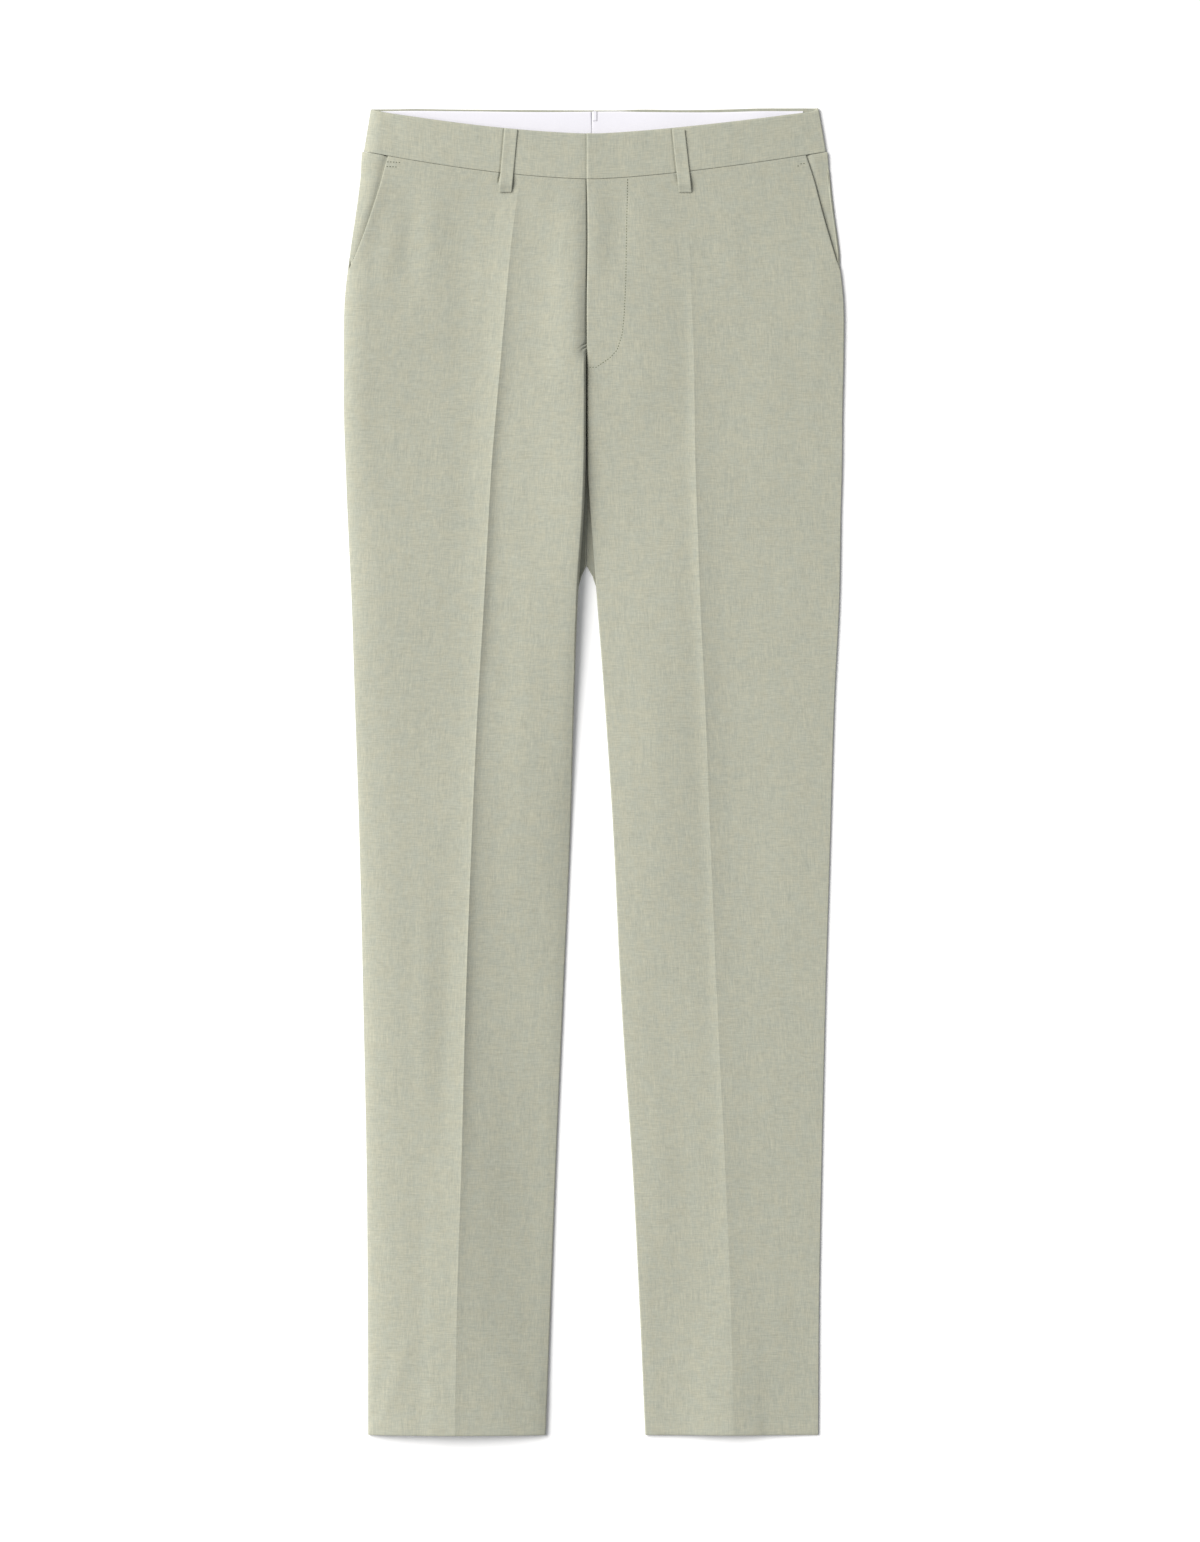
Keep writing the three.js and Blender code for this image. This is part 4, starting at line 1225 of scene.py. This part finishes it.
class SewBeltLoops(Operator):
    """Sew the belt loops: two over the front of the waistband and three pressed flat on the back"""

    bl_idname = "trousers.sew_belt_loops"
    bl_label = "Belt loops"

    def execute(self, context):
        sizes, finish = context.scene.trouser_sizes, context.scene.trouser_finish
        across = np.array([-1, -0.97, -0.92, -0.84, -0.7, -0.35, 0, 0.35, 0.7, 0.84, 0.92, 0.97, 1])[None, :]
        slack = sizes.loop_slack / MM
        for node, (head_x, foot_x) in LOOPS.items():
            foot, head = LOOP_FOOT + np.array([0, 0.3, 0.8]), LOOP_HEAD - np.array([0.4, 0])
            y = np.concatenate([foot, np.linspace(LOOP_FOOT + 1.5, LOOP_HEAD - 1, 44), head])[:, None]
            lift = slack * ease(y, LOOP_FOOT + 0.5, LOOP_FOOT + 7) * (1 - ease(y, 512, 528))
            line = foot_x + (head_x - foot_x) * (y - LOOP_FOOT) / (LOOP_HEAD - LOOP_FOOT)
            x = line + across * LOOP_WIDTH / 2
            side_edge = 0.35 * (1 - roll((1 - np.abs(across)) * LOOP_WIDTH / 2, 1.0))
            end_edge = 0.4 * (1 - roll(y - LOOP_FOOT, 1.2)) + 0.4 * (1 - roll(LOOP_HEAD - y, 1.2))
            hollow = 0.2 * np.exp(-((across / 0.55) ** 2))
            side = RIGHT if head_x < 0 else LEFT
            middle = x[:, 6:7]
            row = np.minimum(y + SEAM_SIDE - waist_seam(side, middle), BAND_TOP_SIDE)
            z = surface_height(side, middle, row, 0) + GAP + 0.9 + lift - side_edge - end_edge - hollow
            self.add_loop(node, x, y, z, sizes, finish, side.name + "_waistband")
        for name, middle in BACK_LOOPS.items():
            x = middle + across * LOOP_WIDTH / 2
            y = np.linspace(BACK_LOOP_FOOT, BACK_LOOP_HEAD, 30)[:, None]
            from_end = np.minimum(y - BACK_LOOP_FOOT, BACK_LOOP_HEAD - y)
            side_edge = 0.35 * (1 - roll((1 - np.abs(across)) * LOOP_WIDTH / 2, 1.0))
            z = side_edge + 0.3 * (1 - roll(from_end, 1.2))
            self.add_loop("belt_loop_back_" + name, x, y, z, sizes, finish, "floor", True)
        return {"FINISHED"}

    def add_loop(self, node, x, y, z, sizes, finish, under, faces_down=False):
        points = grid(x, y, z)
        cut = grid(x + ON_CLOTH["loop"], y)
        piece = add_sheet(node + "_cloth", points, cut, suiting(finish), sizes.trim, 0.0, faces_down)
        sewn_in(piece, "suiting", node)


# The fly's topstitching, from the waist seam down and round to the fly's edge.
FLY_STITCHING = (
    (28.8, 516.6), (27.8, 468.7), (27.1, 427), (25.8, 399), (24.1, 381.5), (19.5, 367.4), (13.2, 360.6),
    (5, 355), (1.5, 352.6), (-4.5, 352.4),
)  # fmt: skip
# Short rows that hold the ends of the pocket mouths: from and to.
POCKET_TACKS = (
    (RIGHT, (-181.5, 527.2), (-171.5, 526.6)),
    (RIGHT, (-181.0, 531.2), (-169.0, 530.6)),
    (LEFT, (178.6, 529.8), (184.6, 530.6)),
    (LEFT, (177.2, 527.6), (177.2, 528.6)),
)


def spaced(path, pitch):
    """Points along a path at equal steps, with the direction at each."""
    path = np.array(path, float)
    run = np.concatenate([[0], np.cumsum(np.linalg.norm(np.diff(path, axis=0), axis=1))])
    at = np.arange(min(pitch, run[-1]) / 2, run[-1], pitch)
    place = np.stack([np.interp(at, run, path[:, k]) for k in range(2)], axis=1)
    ahead = np.stack([np.interp(at + 0.5, run, path[:, k]) for k in range(2)], axis=1)
    behind = np.stack([np.interp(at - 0.5, run, path[:, k]) for k in range(2)], axis=1)
    return zip(place, ahead - behind)


def row_at(side, x, y):
    """The row of a front that passes through a point at height y."""
    row = np.float64(y)
    for _ in range(8):
        row = row + y - front_point(side, np.float64(x), row)[1]
    return row


class SewStitches(Operator):
    """Sew the stitching that shows: the curve of the fly and the tacks of the pockets"""

    bl_idname = "trousers.sew_stitches"
    bl_label = "Stitching"

    def execute(self, context):
        sizes, finish = context.scene.trouser_sizes, context.scene.trouser_finish
        rows = [("fly_stitching", LEFT, FLY_STITCHING)]
        rows += [(f"pocket_tack_{i}", side, ends) for i, (side, *ends) in enumerate(POCKET_TACKS)]
        for name, side, path in rows:
            self.add_row(name, side, path, sizes, finish)
        return {"FINISHED"}

    def add_row(self, name, side, path, sizes, finish):
        places = []
        for place, direction in spaced(path, sizes.stitch_pitch / MM):
            spot = Vector(front_point(side, place[0], row_at(side, *place)))
            turn = Matrix.Rotation(math.atan2(direction[1], direction[0]), 4, "Z")
            places.append(Matrix.Translation(spot * MM) @ turn)
        bpy.ops.object.select_all(action="DESELECT")
        bpy.ops.mesh.primitive_uv_sphere_add(segments=8, ring_count=5, radius=0.5)
        stitch = shrink_to((sizes.stitch, sizes.thread, 0.6 * sizes.thread))
        row = repeat(stitch, places, name, stitching(finish))
        bpy.ops.object.shade_smooth()
        sewn_in(row, "suiting")


class SetStage(Operator):
    """Lay the pale floor and place the soft light and the camera above it"""

    bl_idname = "trousers.set_stage"
    bl_label = "Stage"

    def execute(self, context):
        stage = context.scene.trouser_stage
        bpy.ops.object.select_all(action="DESELECT")
        bpy.ops.mesh.primitive_plane_add(size=30, location=(0, 0, -0.0002))
        floor = context.object
        floor.name = floor.data.name = "floor"
        material, shader, nodes = new_material("studio_floor", 0.9, 0.2)
        place = nodes.add("ShaderNodeTexCoord").outputs["Object"]
        tone = nodes.range(nodes.noise(place, 2.0, scale=3.0), 0.3, 0.7)
        shade = nodes.mix_color(tone, (*[0.99 * c for c in stage.floor], 1), (*stage.floor, 1))
        material.node_tree.links.new(shade, shader.inputs["Base Color"])
        floor.data.materials.append(material)

        key = bpy.data.objects.new("key_light", bpy.data.lights.new("key_light", "AREA"))
        key.data.energy, key.data.color, key.data.shape = stage.key, stage.key_color, "DISK"
        key.data.size = 2 * stage.key_distance * math.tan(stage.key_size / 2)
        azimuth, elevation = stage.key_azimuth, stage.key_elevation
        level = math.cos(elevation)
        towards = Vector((level * math.cos(azimuth), level * math.sin(azimuth), math.sin(elevation)))
        key.location = towards * stage.key_distance
        key.rotation_euler = towards.to_track_quat("Z", "Y").to_euler()
        context.collection.objects.link(key)

        world = bpy.data.worlds.new("studio")
        world.use_nodes = True
        background = world.node_tree.nodes["Background"]
        background.inputs["Color"].default_value = (*stage.fill_color, 1)
        background.inputs["Strength"].default_value = stage.fill
        context.scene.world = world
        context.scene.view_settings.view_transform = "Standard"

        camera = bpy.data.objects.new("camera", bpy.data.cameras.new("camera"))
        camera.data.sensor_width = 36
        camera.data.lens = 36 * (stage.camera_height - GARMENT_LEVEL) / stage.view_height
        camera.location = (*stage.view_center, stage.camera_height)
        camera.data.clip_end = 100
        context.collection.objects.link(camera)
        context.scene.camera = camera
        return {"FINISHED"}


# ---- Panel and registration ------------------------------------------------------------------------------

PIECE_OPERATORS = (
    SewBacks,
    SewFronts,
    SewPockets,
    SewFly,
    SewWaistband,
    SewWaistLining,
    SewBeltLoops,
    SewStitches,
    SetStage,
)


class VIEW3D_PT_trousers(Panel):
    """The pieces of the trousers, in the order that they are sewn"""

    bl_label = "Suit trousers"
    bl_space_type = "VIEW_3D"
    bl_region_type = "UI"
    bl_category = "Trousers"

    def draw(self, context):
        layout = self.layout
        for group, _ in SETTINGS:
            settings, box = getattr(context.scene, group), layout.box()
            for name in settings.bl_rna.properties.keys():
                if name not in {"rna_type", "name"}:
                    box.prop(settings, name)
        for operator in PIECE_OPERATORS:
            layout.operator(operator.bl_idname)


SETTINGS = (("trouser_sizes", TrouserSizes), ("trouser_finish", TrouserFinish), ("trouser_stage", StageSetup))


def register():
    for _, group in SETTINGS:
        bpy.utils.register_class(group)
    for operator in PIECE_OPERATORS:
        bpy.utils.register_class(operator)
    bpy.utils.register_class(VIEW3D_PT_trousers)
    for name, group in SETTINGS:
        setattr(bpy.types.Scene, name, PointerProperty(type=group))


def unregister():
    for name, _ in SETTINGS:
        delattr(bpy.types.Scene, name)
    bpy.utils.unregister_class(VIEW3D_PT_trousers)
    for operator in reversed(PIECE_OPERATORS):
        bpy.utils.unregister_class(operator)
    for _, group in reversed(SETTINGS):
        bpy.utils.unregister_class(group)


def main():
    register()
    for operator in PIECE_OPERATORS:
        area, name = operator.bl_idname.split(".")
        getattr(getattr(bpy.ops, area), name)()


if __name__ == "__main__":
    main()
